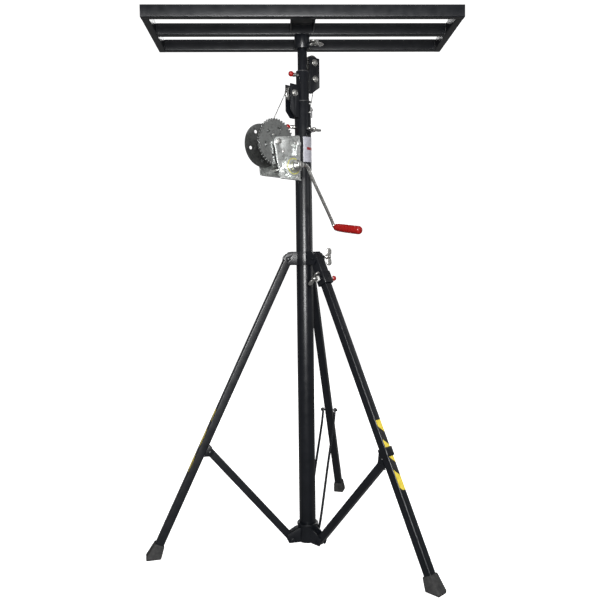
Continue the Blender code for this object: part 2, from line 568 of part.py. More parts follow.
# ---- hand parts -----------------------------------------------------------------------------
def build_knob(name, parent, location, turn, tip, wings_at):
    """A wing screw along its own +X: stem from the tip, round hub, and two wings."""
    stem = rod(STEM_R, tip, wings_at, 12, "X")
    knob = place(name, to_mesh(stem, name), "bright_steel", parent, location, turn)
    hub = rod(0.0085, wings_at - 0.010, wings_at + 0.009, 16, "X")
    combine(knob, guide(name + "_hub", hub, parent, location, turn), "UNION")
    root, span = 0.004, KNOB_SPAN
    wing = [(-0.007, root), (-0.008, 0.020)] + arc(0.002, span - 0.010, 0.010, 180, 0, 6)
    wing += [(0.012, 0.012), (0.007, root)]
    for side, mirror in (("a", 1), ("b", -1)):
        points = [(x + wings_at, y * mirror) for x, y in wing]
        plate = extruded(points, -0.0028, 0.0028, "Z")
        combine(knob, guide(name + "_wing_" + side, plate, parent, location, turn), "UNION")


def build_pin(name, parent, location, turn, tip, barrel_from, barrel_to):
    """A spring pin along +X: a fixed barrel, and a plunger with a ball to pull."""
    barrel = tube(BARREL_R, PIN_R + GAP, barrel_from, barrel_to, 16, "X")
    place(name + "_barrel", to_mesh(barrel, name + "_barrel"), "bright_steel", parent, location, turn)
    ball = [(0, tip), (PIN_R, tip), (PIN_R, barrel_to + 0.0015)]
    centre = barrel_to + 0.0015 + BALL_R * 0.94
    ball += [(x, z) for z, x in arc(centre, 0, BALL_R, 160, 0, 7)]
    place(name, to_mesh(turned(ball, 12, "X"), name), "red_plastic", parent, location, turn)


# ---- tripod ---------------------------------------------------------------------------------
def leg_frame(azimuth_frame):
    """Leg frame: origin on the pivot, -Z down along the leg, +X outward."""
    radius, z = COLLAR_PIVOT
    return empty(azimuth_frame.name + "_pivot", (radius, 0, z), turn_y=-LEG_SPREAD, parent=azimuth_frame)


def plate_pair(obj, name, parent, outline, inner, thickness=LUG_T):
    for side, low in (("a", inner), ("b", -inner - thickness)):
        plate = extruded(outline, low, low + thickness)
        combine(obj, guide(name + "_" + side, plate, parent), "UNION")


def build_collar(frames, knob_frame):
    ring = tube(COLLAR_R, OUTER_R + 0.0004, COLLAR_Z0, COLLAR_Z1, ROUND)
    collar = place("leg_collar", to_mesh(ring, "leg_collar"), "powder_black")
    u = COLLAR_PIVOT[0]
    outline = [(0.0275, COLLAR_Z0), (u + 0.006, COLLAR_Z0)] + arc(u, COLLAR_PIVOT[1], 0.0175, -40, 75, 6)
    outline += [(u - 0.006, COLLAR_Z1), (0.0275, COLLAR_Z1)]
    for side, frame in frames.items():
        half = (SLEEVE_SIZE if side == "right" else LEG_SIZE) / 2 + 0.0006
        plate_pair(collar, "collar_ear_" + side, frame, outline, half)
        drill = rod(BOLT_R + GAP, -0.04, 0.04, 12, "Y")
        hole = guide("collar_hole_" + side, drill, frame, (u, 0, COLLAR_PIVOT[1]))
        combine(collar, hole, "DIFFERENCE")
    add_boss(collar, "collar_knob", knob_frame, KNOB_Z["collar"], OUTER_R + 0.002, 0.048, STEM_R + GAP, 0.025)


def build_hub(frames):
    sleeve = [(OUTER_R + GAP, HUB_Z0), (0.0360, HUB_Z0), (0.0360, HUB_Z1 - 0.010), (0.0385, HUB_Z1 - 0.007),
              (0.0385, HUB_Z1), (OUTER_R + GAP, HUB_Z1)]
    hub = place("bottom_hub", to_mesh(turned(sleeve, ROUND), "bottom_hub"), "powder_black")
    u, z = HUB_PIVOT
    outline = [(0.0295, HUB_Z0), (u + 0.014, HUB_Z0)] + arc(u + 0.006, z + 0.008, 0.0150, -30, 60, 4)
    outline += [(0.044, 0.052), (0.0295, 0.056)]
    for side, frame in frames.items():
        inner = ROD_SPACING - ROD_R - 0.0005 - LUG_T if side == "rear" else BRACE_SIZE / 2 + 0.0006
        plate_pair(hub, "hub_lug_" + side, frame, outline, inner)


def brace_geometry():
    """Pivot on the leg in the azimuth frame, the brace's length and its angle from vertical."""
    spread = math.radians(LEG_SPREAD)
    r = COLLAR_PIVOT[0] + BRACE_AT * math.sin(spread) - BRACE_OFFSET * math.cos(spread)
    z = COLLAR_PIVOT[1] - BRACE_AT * math.cos(spread) - BRACE_OFFSET * math.sin(spread)
    dr, dz = r - HUB_PIVOT[0], z - HUB_PIVOT[1]
    return (r, z), math.hypot(dr, dz), math.degrees(math.atan2(dr, dz))


def build_leg(side, azimuth_frame):
    frame = leg_frame(azimuth_frame)
    name = side + "_leg"
    top = -0.012 if side == "right" else 0.014
    tube_mesh = box_tube(LEG_SIZE, LEG_SIZE, LEG_WALL, -LEG_END, top)
    leg = place(name, to_mesh(tube_mesh, name), "powder_black", frame)
    if side == "left":
        add_brace_lug(leg, name, frame, -LEG_SIZE / 2 + 0.001, -BRACE_AT + 0.022)
    build_foot(side, azimuth_frame, frame)
    if side == "right":
        build_levelling_sleeve(frame)
        build_slider(frame)


def add_brace_lug(obj, name, frame, face, top):
    """Two plates that hold a brace's upper pivot, on the side of the leg facing the mast."""
    low, high = -BRACE_AT - 0.014, -BRACE_AT + 0.014
    outline = [(face, low - 0.008), (face, top), (-BRACE_OFFSET - 0.004, high)]
    outline += arc(-BRACE_OFFSET, -BRACE_AT, 0.012, 130, 230, 4)
    outline += [(-BRACE_OFFSET - 0.004, low)]
    plate_pair(obj, name + "_lug", frame, outline, BRACE_SIZE / 2 + 0.0006)


def build_slider(frame):
    """The levelling leg slides through this band, and the band keeps the brace's pivot in place."""
    inside = LEG_SIZE / 2 + 0.0004
    wall = 0.0035
    outside = 2 * (inside + wall)
    band = box_tube(outside, outside, wall, -BRACE_AT + 0.0145, -BRACE_AT + 0.045)
    slider = place("right_leg_slider", to_mesh(band, "right_leg_slider"), "powder_black", frame)
    add_brace_lug(slider, "right_leg_slider", frame, -inside, -BRACE_AT + 0.040)


def build_foot(side, azimuth_frame, frame):
    """A rubber shoe on the leg's end, with a level sole."""
    name = side + "_foot"
    spread = math.radians(LEG_SPREAD)
    cos, sin = math.cos(spread), math.sin(spread)
    bm = bmesh.new()
    half = LEG_SIZE / 2 + 0.0035
    for along, h in ((1.092, half - 0.001), (1.096, half), (1.118, half + 0.001)):
        for x in (-h, h):
            for y in (-h, h):
                r = COLLAR_PIVOT[0] + along * sin + x * cos
                z = COLLAR_PIVOT[1] - along * cos + x * sin
                bm.verts.new((r, y, z))
    sole_r = COLLAR_PIVOT[0] + COLLAR_PIVOT[1] * math.tan(spread) - 0.002
    for z, hx, hy in ((0.0, 0.0235, 0.0185), (0.0025, 0.0255, 0.0205), (0.010, 0.0255, 0.0205)):
        for x in (-hx, hx):
            for y in (-hy, hy):
                bm.verts.new((sole_r + x, y, z))
    bmesh.ops.convex_hull(bm, input=bm.verts)
    loose = [v for v in bm.verts if not v.link_faces]
    bmesh.ops.delete(bm, geom=loose, context="VERTS")
    foot = place(name, to_mesh(bm, name), "rubber", azimuth_frame)
    hole = LEG_SIZE / 2 + GAP
    pocket = guide(name + "_pocket", block(-hole, hole, -hole, hole, -LEG_END - GAP, -1.0), frame)
    combine(foot, pocket, "DIFFERENCE")


def build_levelling_sleeve(frame):
    inside = LEG_SIZE / 2 + 0.0004
    wall = SLEEVE_SIZE / 2 - inside
    body = box_tube(SLEEVE_SIZE, SLEEVE_SIZE, wall, -SLEEVE_END, 0.014)
    sleeve = place("right_leg_sleeve", to_mesh(body, "right_leg_sleeve"), "powder_black", frame)
    lock = box_tube(LOCK_SIZE, LOCK_SIZE, (LOCK_SIZE - SLEEVE_SIZE) / 2 + 0.001, LOCK_Z0 - 0.002, LOCK_Z1)
    combine(sleeve, guide("leg_lock_band", lock, frame), "UNION")
    knob_turn = (0, 0, -90)
    boss = rod(BOSS_R, 0.0185, 0.030, 16, "X")
    combine(sleeve, guide("leg_knob_boss", boss, frame, (0, 0, LEVEL_AT), knob_turn), "UNION")
    for name, radius, turn in (("knob", STEM_R, -90), ("pin", PIN_R, 90)):
        drill = rod(radius + GAP, 0.010, 0.040, 12, "X")
        hole = guide("leg_" + name + "_hole", drill, frame, (0, 0, LEVEL_AT), (0, 0, turn))
        combine(sleeve, hole, "DIFFERENCE")
    build_knob("leg_knob", frame, (0, 0, LEVEL_AT), knob_turn, LEG_SIZE / 2 + 0.0005, 0.048)
    build_pin("leg_pin", frame, (0, 0, LEVEL_AT), (0, 0, 90), LEG_SIZE / 2 + 0.0007, LOCK_SIZE / 2 + GAP, 0.040)


def build_brace(side, azimuth_frame):
    (r, z), length, angle = brace_geometry()
    body = box_tube(BRACE_SIZE, BRACE_SIZE, BRACE_WALL, -length - BRACE_OVERRUN, BRACE_OVERRUN)
    name = side + "_brace"
    place(name, to_mesh(body, name), "powder_black", azimuth_frame, (r, 0, z), (0, angle, 0))


def build_rear_rods(azimuth_frame):
    """Two round rods, one each side of the rear leg, slightly cranked near their ends."""
    spread = math.radians(LEG_SPREAD)
    top = (COLLAR_PIVOT[0] + ROD_AT * math.sin(spread), COLLAR_PIVOT[1] - ROD_AT * math.cos(spread))
    low = HUB_PIVOT
    for name, y in (("rear_brace_rod_left", ROD_SPACING), ("rear_brace_rod_right", -ROD_SPACING)):
        points = [(top[0] + 0.002, y, top[1] + 0.008), (top[0], y, top[1] - 0.004)]
        for share, bow in ((0.06, 0.006), (0.14, 0.010), (0.5, 0.006), (0.86, 0.010), (0.94, 0.006)):
            r = top[0] + (low[0] - top[0]) * share + bow
            z = top[1] + (low[1] - top[1]) * share - bow
            points.append((r, y, z))
        points.append((low[0], y, low[1] - 0.002))
        points = [(x - top[0], y, z - top[1]) for x, y, z in points]
        curve = wire_curve(name, points, ROD_R)
        place(name, curve, "powder_black", azimuth_frame, (top[0], 0, top[1]))


def main():
    clear_scene()
    make_materials()
    mast_knob_frame = empty("mast_knob_side", turn_z=310.0)
    platform_knob_frame = empty("platform_knob_side", turn_z=320.0)
    collar_knob_frame = empty("collar_knob_side", turn_z=12.6)
    middle_pin_frame = empty("middle_pin_side", turn_z=220.0)
    mast_pin_frame = empty("mast_pin_side", turn_z=190.0)
    build_outer_mast(mast_knob_frame, mast_pin_frame)
    build_middle_mast(middle_pin_frame)
    build_inner_mast()
    build_pulleys()
    build_cables()
    winch = empty("winch_side", turn_z=WINCH_AZIMUTH)
    build_winch_frame(winch)
    build_drum(winch)
    build_crank(winch)
    build_pawl(winch)
    build_platform(empty("platform_axis"), platform_knob_frame)
    build_knob("platform_knob", platform_knob_frame, (0, 0, KNOB_Z["platform"]), (0, 0, 0),
               INNER_R + 0.0008, 0.064)
    build_knob("mast_knob", mast_knob_frame, (0, 0, KNOB_Z["mast"]), (0, 0, 0), MIDDLE_R + 0.0006, 0.0560)
    build_knob("collar_knob", collar_knob_frame, (0, 0, KNOB_Z["collar"]), (90, 0, 0),
               OUTER_R + 0.0006, 0.086)
    build_pin("middle_pin", middle_pin_frame, (0, 0, PIN_Z["middle"]), (0, 0, 0),
              MIDDLE_R - MIDDLE_WALL + GAP, MIDDLE_R + GAP, 0.044)
    build_pin("mast_pin", mast_pin_frame, (0, 0, PIN_Z["mast"]), (0, 0, 0), MIDDLE_R + 0.0006,
              OUTER_R + GAP, 0.046)
    frames = {side: empty(side + "_side", turn_z=a) for side, a in LEG_AZIMUTHS.items()}
    build_collar(frames, collar_knob_frame)
    build_hub(frames)
    for side, frame in frames.items():
        build_leg(side, frame)
    build_brace("left", frames["left"])
    build_brace("right", frames["right"])
    build_rear_rods(frames["rear"])


main()
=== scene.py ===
# %% [markdown]
# # A crank lighting stand
# A three-section mast stands on a folding tripod, a hand winch lifts it, and a platform of
# square tube rides on top. The imported model already says where every part is and how it
# moves, so this script only gives each part its fine shape and its finish.
# Each piece is made where it sits, and all but the stretched rope runs are told which body they ride on.

# %% Load the imported model
import json
import math
import bmesh
import bpy
from mathutils import Matrix, Vector


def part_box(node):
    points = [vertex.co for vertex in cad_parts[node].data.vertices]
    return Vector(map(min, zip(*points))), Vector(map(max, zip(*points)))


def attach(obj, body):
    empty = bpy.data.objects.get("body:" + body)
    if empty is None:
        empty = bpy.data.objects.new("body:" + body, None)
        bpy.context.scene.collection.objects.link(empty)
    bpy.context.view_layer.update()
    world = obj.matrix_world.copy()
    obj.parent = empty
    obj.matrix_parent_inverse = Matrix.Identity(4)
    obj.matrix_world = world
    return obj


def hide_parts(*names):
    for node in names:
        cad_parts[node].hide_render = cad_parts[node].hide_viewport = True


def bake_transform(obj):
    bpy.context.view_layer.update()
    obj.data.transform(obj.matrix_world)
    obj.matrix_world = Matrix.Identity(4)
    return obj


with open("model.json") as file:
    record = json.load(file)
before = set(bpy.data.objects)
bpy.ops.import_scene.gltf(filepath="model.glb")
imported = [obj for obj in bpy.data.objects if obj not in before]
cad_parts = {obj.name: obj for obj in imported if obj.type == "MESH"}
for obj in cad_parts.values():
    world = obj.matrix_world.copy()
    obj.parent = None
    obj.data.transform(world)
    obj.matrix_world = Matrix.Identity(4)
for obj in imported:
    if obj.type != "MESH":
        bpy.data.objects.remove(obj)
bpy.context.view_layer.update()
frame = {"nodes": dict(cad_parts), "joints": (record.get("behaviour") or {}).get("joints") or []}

# %% [markdown]
# Joints are the best landmarks on a mechanism: each gives a point and a direction.
# The tubes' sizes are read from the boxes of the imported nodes. A piece is easiest to make
# in the frame of its own joint, lying along an axis, and a matrix then puts it in place.

# %% Landmarks of the mechanism
JOINTS = {joint["name"]: joint for joint in frame["joints"]}


def pivot(joint_name):
    return Vector(JOINTS[joint_name]["pos_m"])


def direction(joint_name):
    return Vector(JOINTS[joint_name]["axis"]).normalized()


def heading(vector, height=0.0):
    """A frame on the mast's axis whose X points the way the vector does, seen from above."""
    turn = Matrix.Rotation(math.atan2(vector.y, vector.x), 4, "Z")
    return Matrix.Translation((0, 0, height)) @ turn


def reach(vector):
    """Distance from the mast's axis."""
    return math.hypot(vector.x, vector.y)


def out_at(joint_name):
    """A frame on a joint's pivot whose X points straight out from the mast."""
    place = pivot(joint_name)
    return heading(place) @ Matrix.Translation((reach(place), 0, place.z))


def lying_along(axis):
    """A frame whose X lies along an axis and whose Y stays level."""
    across = axis.cross(Vector((0, 0, 1))).normalized()
    return Matrix((axis, across, axis.cross(across))).transposed().to_4x4()


def radius_of(node):
    low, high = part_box(node)
    return (high.x - low.x) / 2


leg_run = direction("leg_level")                  # down along the right leg
SPREAD = math.acos(-leg_run.z)                    # the legs' angle from the mast
WINCH = heading(pivot("drum_spin"))
DRUM = (reach(pivot("drum_spin")), pivot("drum_spin").z)
CRANK = (reach(pivot("crank_spin")), pivot("crank_spin").z)
SIDES = ("left", "right", "rear")
SIDE = {side: heading(pivot(side + "_leg_fold")) for side in SIDES}
LEG = {side: out_at(side + "_leg_fold") @ Matrix.Rotation(-SPREAD, 4, "Y") for side in SIDES}
print("spread", round(math.degrees(SPREAD), 2), "drum", DRUM, "crank", CRANK)

# %% [markdown]
# ## Finishes
# Every finish is a Principled shader fed by a little noise on Object coordinates, which are
# metres here, so a scale of 1000 gives grains of about a millimetre. Three helpers are enough:
# one adds a noise, one spreads it between two colours, and one between two numbers.
# Bump heights are real too, in metres.

# %% Helpers for the finishes
FINISHES = {}


def new_finish(name, colour, roughness, metallic=0.0, **sockets):
    finish = bpy.data.materials.new(name)
    finish.use_nodes = True
    shader = finish.node_tree.nodes["Principled BSDF"]
    shader.inputs["Base Color"].default_value = (*colour, 1.0)
    shader.inputs["Roughness"].default_value = roughness
    shader.inputs["Metallic"].default_value = metallic
    for socket, value in sockets.items():
        shader.inputs[socket.replace("_", " ")].default_value = value
    FINISHES[name] = finish
    return finish


def pattern(finish, kind, scale, stretch=(1, 1, 1), turn=(0, 0, 0), **sockets):
    """A texture node on Object coordinates, scaled along each axis."""
    nodes, links = finish.node_tree.nodes, finish.node_tree.links
    coordinates = nodes.new("ShaderNodeTexCoord")
    mapping = nodes.new("ShaderNodeMapping")
    mapping.inputs["Scale"].default_value = stretch
    mapping.inputs["Rotation"].default_value = turn
    links.new(coordinates.outputs["Object"], mapping.inputs["Vector"])
    texture = nodes.new(kind)
    texture.inputs["Scale"].default_value = scale
    for socket, value in sockets.items():
        texture.inputs[socket.replace("_", " ")].default_value = value
    links.new(mapping.outputs["Vector"], texture.inputs["Vector"])
    return texture


def noise(finish, scale, detail=4.0, stretch=(1, 1, 1)):
    return pattern(finish, "ShaderNodeTexNoise", scale, stretch, Detail=detail).outputs["Fac"]


def shade_by(finish, value, stops):
    """Feed the colour from a ramp of (place, colour) stops along a value."""
    ramp = finish.node_tree.nodes.new("ShaderNodeValToRGB")
    elements = ramp.color_ramp.elements
    while len(elements) < len(stops):
        elements.new(0.5)
    for element, (place, colour) in zip(elements, stops):
        element.position = place
        element.color = (*colour, 1.0)
    finish.node_tree.links.new(value, ramp.inputs["Fac"])
    shader = finish.node_tree.nodes["Principled BSDF"]
    finish.node_tree.links.new(ramp.outputs["Color"], shader.inputs["Base Color"])


def vary(finish, socket, value, low, high):
    """Feed a number between low and high from a value about 0.3 to 0.7."""
    spread = finish.node_tree.nodes.new("ShaderNodeMapRange")
    for name, number in (("From Min", 0.3), ("From Max", 0.7), ("To Min", low), ("To Max", high)):
        spread.inputs[name].default_value = number
    shader = finish.node_tree.nodes["Principled BSDF"]
    finish.node_tree.links.new(value, spread.inputs["Value"])
    finish.node_tree.links.new(spread.outputs["Result"], shader.inputs[socket])


def emboss(finish, value, height, strength=1.0):
    """Add a bump of a real height; a second call goes on top of the first."""
    nodes, links = finish.node_tree.nodes, finish.node_tree.links
    shader = nodes["Principled BSDF"]
    bump = nodes.new("ShaderNodeBump")
    bump.inputs["Distance"].default_value = height
    bump.inputs["Strength"].default_value = strength
    if shader.inputs["Normal"].is_linked:
        links.new(shader.inputs["Normal"].links[0].from_socket, bump.inputs["Normal"])
    links.new(value, bump.inputs["Height"])
    links.new(bump.outputs["Normal"], shader.inputs["Normal"])


# %% [markdown]
# Powder coat is thick paint baked on as dust. It has a faint orange-peel ripple about a
# millimetre across and a soft gloss. It is black, but a black of about 0.01 with a slow drift
# in tone reads as paint, where a perfect black reads as a hole.

# %% Black powder coat
powder = new_finish("powder_coat", (0.022, 0.024, 0.028), 0.4, 0.0, Specular_IOR_Level=0.5,
                    Coat_Weight=0.10, Coat_Roughness=0.25)
shade_by(powder, noise(powder, 14.0, 6.0),
         [(0.3, (0.003, 0.004, 0.006)), (0.62, (0.006, 0.007, 0.010)), (0.8, (0.010, 0.011, 0.014))])
vary(powder, "Roughness", noise(powder, 45.0, 5.0), 0.28, 0.38)
emboss(powder, noise(powder, 650.0, 2.0), 0.00012, 0.6)
print("finish", powder.name)

# %% [markdown]
# Hot zinc cools into crystals, so a galvanised sheet shows flat patches of slightly different
# grey. A Voronoi texture gives those patches, and a noise varies the gloss. One zinc comes in
# three tones of painted light: the frame's copy is bright as a painted reflection, the gear's is
# darker, and the drum's behind the gear is darker still as painted shade.

# %% Galvanised sheet
def zinc(name, level):
    """Galvanised steel whose middle tone is the level given."""
    finish = new_finish(name, (level, level, level), 0.36, 0.9)
    spangle = pattern(finish, "ShaderNodeTexVoronoi", 150.0, Detail=1.0).outputs["Color"]
    shade_by(finish, spangle, [(place, (level * gain, level * gain * 1.03, level * gain * 1.01))
                               for place, gain in ((0.2, 0.78), (0.5, 1.0), (0.8, 1.26))])
    vary(finish, "Roughness", noise(finish, 90.0, 5.0), 0.26, 0.42)
    emboss(finish, noise(finish, 800.0, 3.0), 0.00006, 0.5)


# Three copies of one zinc toned for light: painted reflection on the frame, a middle tone on the gear,
# painted shade on the drum.
zinc("zinc_painted_light", 0.74)
zinc("zinc_painted_shade", 0.19)
zinc("gear_zinc", 0.27)
print("finishes zinc_painted_light, zinc_painted_shade and gear_zinc")

# %% [markdown]
# Small fittings are plated bright. Their surface still carries rolling and tumbling marks, which
# a noise stretched hard along one axis gives, and the plating is a touch uneven in gloss.

# %% Bright plating
plated = new_finish("bright_plating", (0.70, 0.69, 0.66), 0.25, 1.0)
shade_by(plated, noise(plated, 60.0, 5.0), [(0.3, (0.58, 0.58, 0.56)), (0.7, (0.80, 0.79, 0.76))])
vary(plated, "Roughness", noise(plated, 25.0, 6.0, (1, 1, 14)), 0.20, 0.36)
emboss(plated, noise(plated, 240.0, 3.0, (1, 1, 10)), 0.00005, 0.5)
print("finish", plated.name)

# %% [markdown]
# The plastics and the rubber differ in gloss more than in colour. The red is glossy with a
# shallow glow under its skin, the nylon is matt with a fine grain, and the rubber is dusty.

# %% Plastics and rubber
red = new_finish("red_plastic_gloss", (0.40, 0.008, 0.006), 0.3, 0.0, Subsurface_Weight=0.05,
                 Subsurface_Scale=0.004, Coat_Weight=0.15, Coat_Roughness=0.15)
shade_by(red, noise(red, 30.0, 4.0), [(0.3, (0.30, 0.004, 0.003)), (0.7, (0.40, 0.008, 0.006))])
vary(red, "Roughness", noise(red, 120.0, 4.0), 0.24, 0.38)
emboss(red, noise(red, 500.0, 2.0), 0.00005, 0.4)

nylon = new_finish("black_nylon", (0.025, 0.025, 0.027), 0.55)
shade_by(nylon, noise(nylon, 60.0), [(0.3, (0.018, 0.018, 0.020)), (0.7, (0.036, 0.036, 0.038))])
vary(nylon, "Roughness", noise(nylon, 200.0), 0.48, 0.62)
emboss(nylon, noise(nylon, 1400.0, 2.0), 0.00005, 0.6)

rubber = new_finish("foot_rubber", (0.035, 0.035, 0.037), 0.8)
shade_by(rubber, noise(rubber, 70.0, 6.0), [(0.3, (0.020, 0.020, 0.021)), (0.75, (0.055, 0.054, 0.053))])
vary(rubber, "Roughness", noise(rubber, 40.0, 5.0), 0.70, 0.92)
emboss(rubber, noise(rubber, 900.0, 4.0), 0.00015, 0.7)
print("finishes", red.name, nylon.name, rubber.name)

# %% [markdown]
# Wire rope is strands laid in a spiral. At 3.2 mm across, slanted bands a millimetre apart
# are enough: a Wave texture makes them, and drives both the bump and the tone.

# %% Wire rope
rope = new_finish("wire_rope", (0.5, 0.5, 0.48), 0.4, 0.9)
lay = pattern(rope, "ShaderNodeTexWave", 260.0, turn=(0.9, 0.7, 0.0), Distortion=0.4).outputs["Fac"]
shade_by(rope, lay, [(0.1, (0.10, 0.10, 0.10)), (0.7, (0.42, 0.42, 0.40))])
vary(rope, "Roughness", noise(rope, 300.0), 0.32, 0.48)
emboss(rope, lay, 0.0003, 0.8)
print("finish", rope.name)

# %% [markdown]
# Film and tape come off a roll: even colour, a slight gloss, and faint creases where they
# bend over the metal. A few flat colours of the same film make the label's blocks.

# %% Films, tape and small colours
def film(name, dark, light, roughness):
    sheet_finish = new_finish(name, light, roughness, 0.0, Coat_Weight=0.2, Coat_Roughness=0.1)
    shade_by(sheet_finish, noise(sheet_finish, 90.0, 5.0), [(0.35, dark), (0.7, light)])
    vary(sheet_finish, "Roughness", noise(sheet_finish, 60.0), roughness - 0.06, roughness + 0.08)
    emboss(sheet_finish, noise(sheet_finish, 260.0, 3.0), 0.00008, 0.5)
    return sheet_finish


film("tape_yellow", (0.78, 0.60, 0.060), (0.92, 0.74, 0.100), 0.34)
film("tape_black", (0.016, 0.016, 0.018), (0.026, 0.026, 0.028), 0.30)
film("label_silver", (0.32, 0.32, 0.36), (0.44, 0.44, 0.49), 0.36)
film("label_grey", (0.20, 0.20, 0.23), (0.28, 0.28, 0.31), 0.40)
film("label_red", (0.20, 0.012, 0.016), (0.30, 0.020, 0.024), 0.36)
film("ring_yellow", (0.52, 0.50, 0.07), (0.66, 0.63, 0.12), 0.45)
film("white_nylon", (0.70, 0.70, 0.68), (0.82, 0.82, 0.80), 0.45)
print("films", [name for name in FINISHES if name.startswith(("tape", "label", "ring", "white"))])

# %% [markdown]
# ## Tools
# Most pieces of a stand are turned, sawn or bent, so a few makers cover them: a lathe for
# round parts, a block, a plate cut from an outline, square tube, and a bar bent along a path.
# Real edges are never sharp, so `ease` bevels every edge that turns more than a given angle.

# %% Makers
def merge(*meshes):
    """Put several bmeshes into the first one."""
    whole = meshes[0]
    for extra in meshes[1:]:
        passing = bpy.data.meshes.new("passing")
        extra.to_mesh(passing)
        extra.free()
        whole.from_mesh(passing)
        bpy.data.meshes.remove(passing)
    return whole


def move(bm, matrix):
    bmesh.ops.transform(bm, matrix=matrix, verts=bm.verts)
    return bm


def pull(bm, grown, vec):
    """Move the corners that an extrusion made away from where it started."""
    fresh = [g for g in grown["geom"] if isinstance(g, bmesh.types.BMVert)]
    bmesh.ops.translate(bm, verts=fresh, vec=vec)


def shift(x=0.0, y=0.0, z=0.0):
    return Matrix.Translation((x, y, z))


LIE = {"X": Matrix.Rotation(math.pi / 2, 4, "Y"), "Y": Matrix.Rotation(-math.pi / 2, 4, "X"),
       "-Y": Matrix.Rotation(math.pi / 2, 4, "X"), "Z": Matrix.Identity(4)}


def ease(bm, width=0.0005, segments=2, sharper=35.0):
    """Round every edge that turns by more than an angle in degrees."""
    edges = [e for e in bm.edges if e.is_manifold and e.calc_face_angle(0.0) > math.radians(sharper)]
    bmesh.ops.bevel(bm, geom=edges, offset=width, offset_type="OFFSET", affect="EDGES",
                    segments=segments, profile=0.5, material=-1, clamp_overlap=True)
    return bm


def lathe(profile, steps=64, along="Z", ease_by=0.0005):
    """Spin a profile of (radius, height) points. It closes on the axis or on itself."""
    bm = bmesh.new()
    points = [bm.verts.new((r, 0.0, z)) for r, z in profile]
    edges = [bm.edges.new(pair) for pair in zip(points, points[1:])]
    if profile[0][0] > 0.0:
        edges.append(bm.edges.new((points[-1], points[0])))
    bmesh.ops.spin(bm, geom=points + edges, cent=(0, 0, 0), axis=(0, 0, 1), angle=math.tau,
                   steps=steps, use_merge=True)
    bmesh.ops.remove_doubles(bm, verts=bm.verts, dist=1e-6)
    bmesh.ops.recalc_face_normals(bm, faces=bm.faces)
    if ease_by:
        ease(bm, ease_by)
    return move(bm, LIE[along])


def ring(outer, inner, low, high, steps=64, along="Z", ease_by=0.0005):
    return lathe([(outer, low), (outer, high), (inner, high), (inner, low)], steps, along, ease_by)


def disc(radius, low, high, steps=48, along="Z", ease_by=0.0005):
    return lathe([(0.0, low), (radius, low), (radius, high), (0.0, high)], steps, along, ease_by)


def block(x0, x1, y0, y1, z0, z1, ease_by=0.0006):
    bm = bmesh.new()
    bmesh.ops.create_cube(bm, size=1.0)
    bmesh.ops.scale(bm, verts=bm.verts, vec=(x1 - x0, y1 - y0, z1 - z0))
    bmesh.ops.translate(bm, verts=bm.verts, vec=((x0 + x1) / 2, (y0 + y1) / 2, (z0 + z1) / 2))
    return ease(bm, ease_by)


def arc(cx, cz, radius, start, end, steps=10):
    """Points on a round stretch of an outline, angles in degrees."""
    turns = [math.radians(start + (end - start) * i / steps) for i in range(steps + 1)]
    return [(cx + radius * math.cos(a), cz + radius * math.sin(a)) for a in turns]


def plate(outline, low, high, ease_by=0.0005):
    """An outline of (x, z) points, as thick as from low to high along Y."""
    bm = bmesh.new()
    face = bm.faces.new([bm.verts.new((x, low, z)) for x, z in outline])
    pull(bm, bmesh.ops.extrude_face_region(bm, geom=[face]), (0, high - low, 0))
    bmesh.ops.recalc_face_normals(bm, faces=bm.faces)
    return ease(bm, ease_by, 2, 40.0) if ease_by else bm


def square_tube(wide, deep, low, high, corner=0.0025, wall=0.002, hollow=0.08):
    """Rectangular tube along Z with rounded corners and open ends."""
    bm = bmesh.new()
    bmesh.ops.create_cube(bm, size=1.0)
    bmesh.ops.scale(bm, verts=bm.verts, vec=(wide, deep, high - low))
    bmesh.ops.translate(bm, verts=bm.verts, vec=(0, 0, (low + high) / 2))
    long_edges = [e for e in bm.edges if abs((e.verts[0].co - e.verts[1].co).z) > (high - low) / 2]
    bmesh.ops.bevel(bm, geom=long_edges, offset=corner, offset_type="OFFSET", affect="EDGES",
                    segments=5, profile=0.5, material=-1)
    ends = [f for f in bm.faces if abs(f.normal.z) > 0.9]
    bmesh.ops.inset_individual(bm, faces=ends, thickness=wall)
    bmesh.ops.inset_individual(bm, faces=ends, thickness=0.0001, depth=-min(hollow, (high - low) / 3))
    return bm


def swept(points, radius, smooth=True, resolution=6, steps=6):
    """A round bar or a rope along a path, as a mesh."""
    curve = bpy.data.curves.new("path", "CURVE")
    curve.dimensions = "3D"
    curve.bevel_depth = radius
    curve.bevel_resolution = resolution
    curve.use_fill_caps = True
    curve.resolution_u = steps
    spline = curve.splines.new("NURBS" if smooth else "POLY")
    spline.points.add(len(points) - 1)
    for point, place in zip(spline.points, points):
        point.co = (*place, 1.0)
    if smooth:
        spline.order_u = 3
        spline.use_endpoint_u = True
    holder = bpy.data.objects.new("path", curve)
    bm = bmesh.new()
    bm.from_mesh(holder.to_mesh())
    holder.to_mesh_clear()
    bpy.data.objects.remove(holder)
    bpy.data.curves.remove(curve)
    bmesh.ops.remove_doubles(bm, verts=bm.verts, dist=1e-6)
    bmesh.ops.recalc_face_normals(bm, faces=bm.faces)
    return bm


# %% [markdown]
# `fit` turns a finished bmesh into a piece: it puts it in its place, shades it, gives it its
# finish and sets it on its body. `refine` starts from an imported node instead. Such a node is
# loose triangles, so a copy is merged, its flat faces are joined back into whole ones, and then
# its edges can be rounded.


def as_object(name, bm, finish, place=None, sharp=35.0):
    if place:
        move(bm, place)
    mesh = bpy.data.meshes.new(name)
    bm.to_mesh(mesh)
    bm.free()
    mesh.materials.append(FINISHES[finish])
    mesh.shade_smooth()
    mesh.set_sharp_from_angle(angle=math.radians(sharp))
    piece = bpy.data.objects.new(name, mesh)
    bpy.context.scene.collection.objects.link(piece)
    return piece


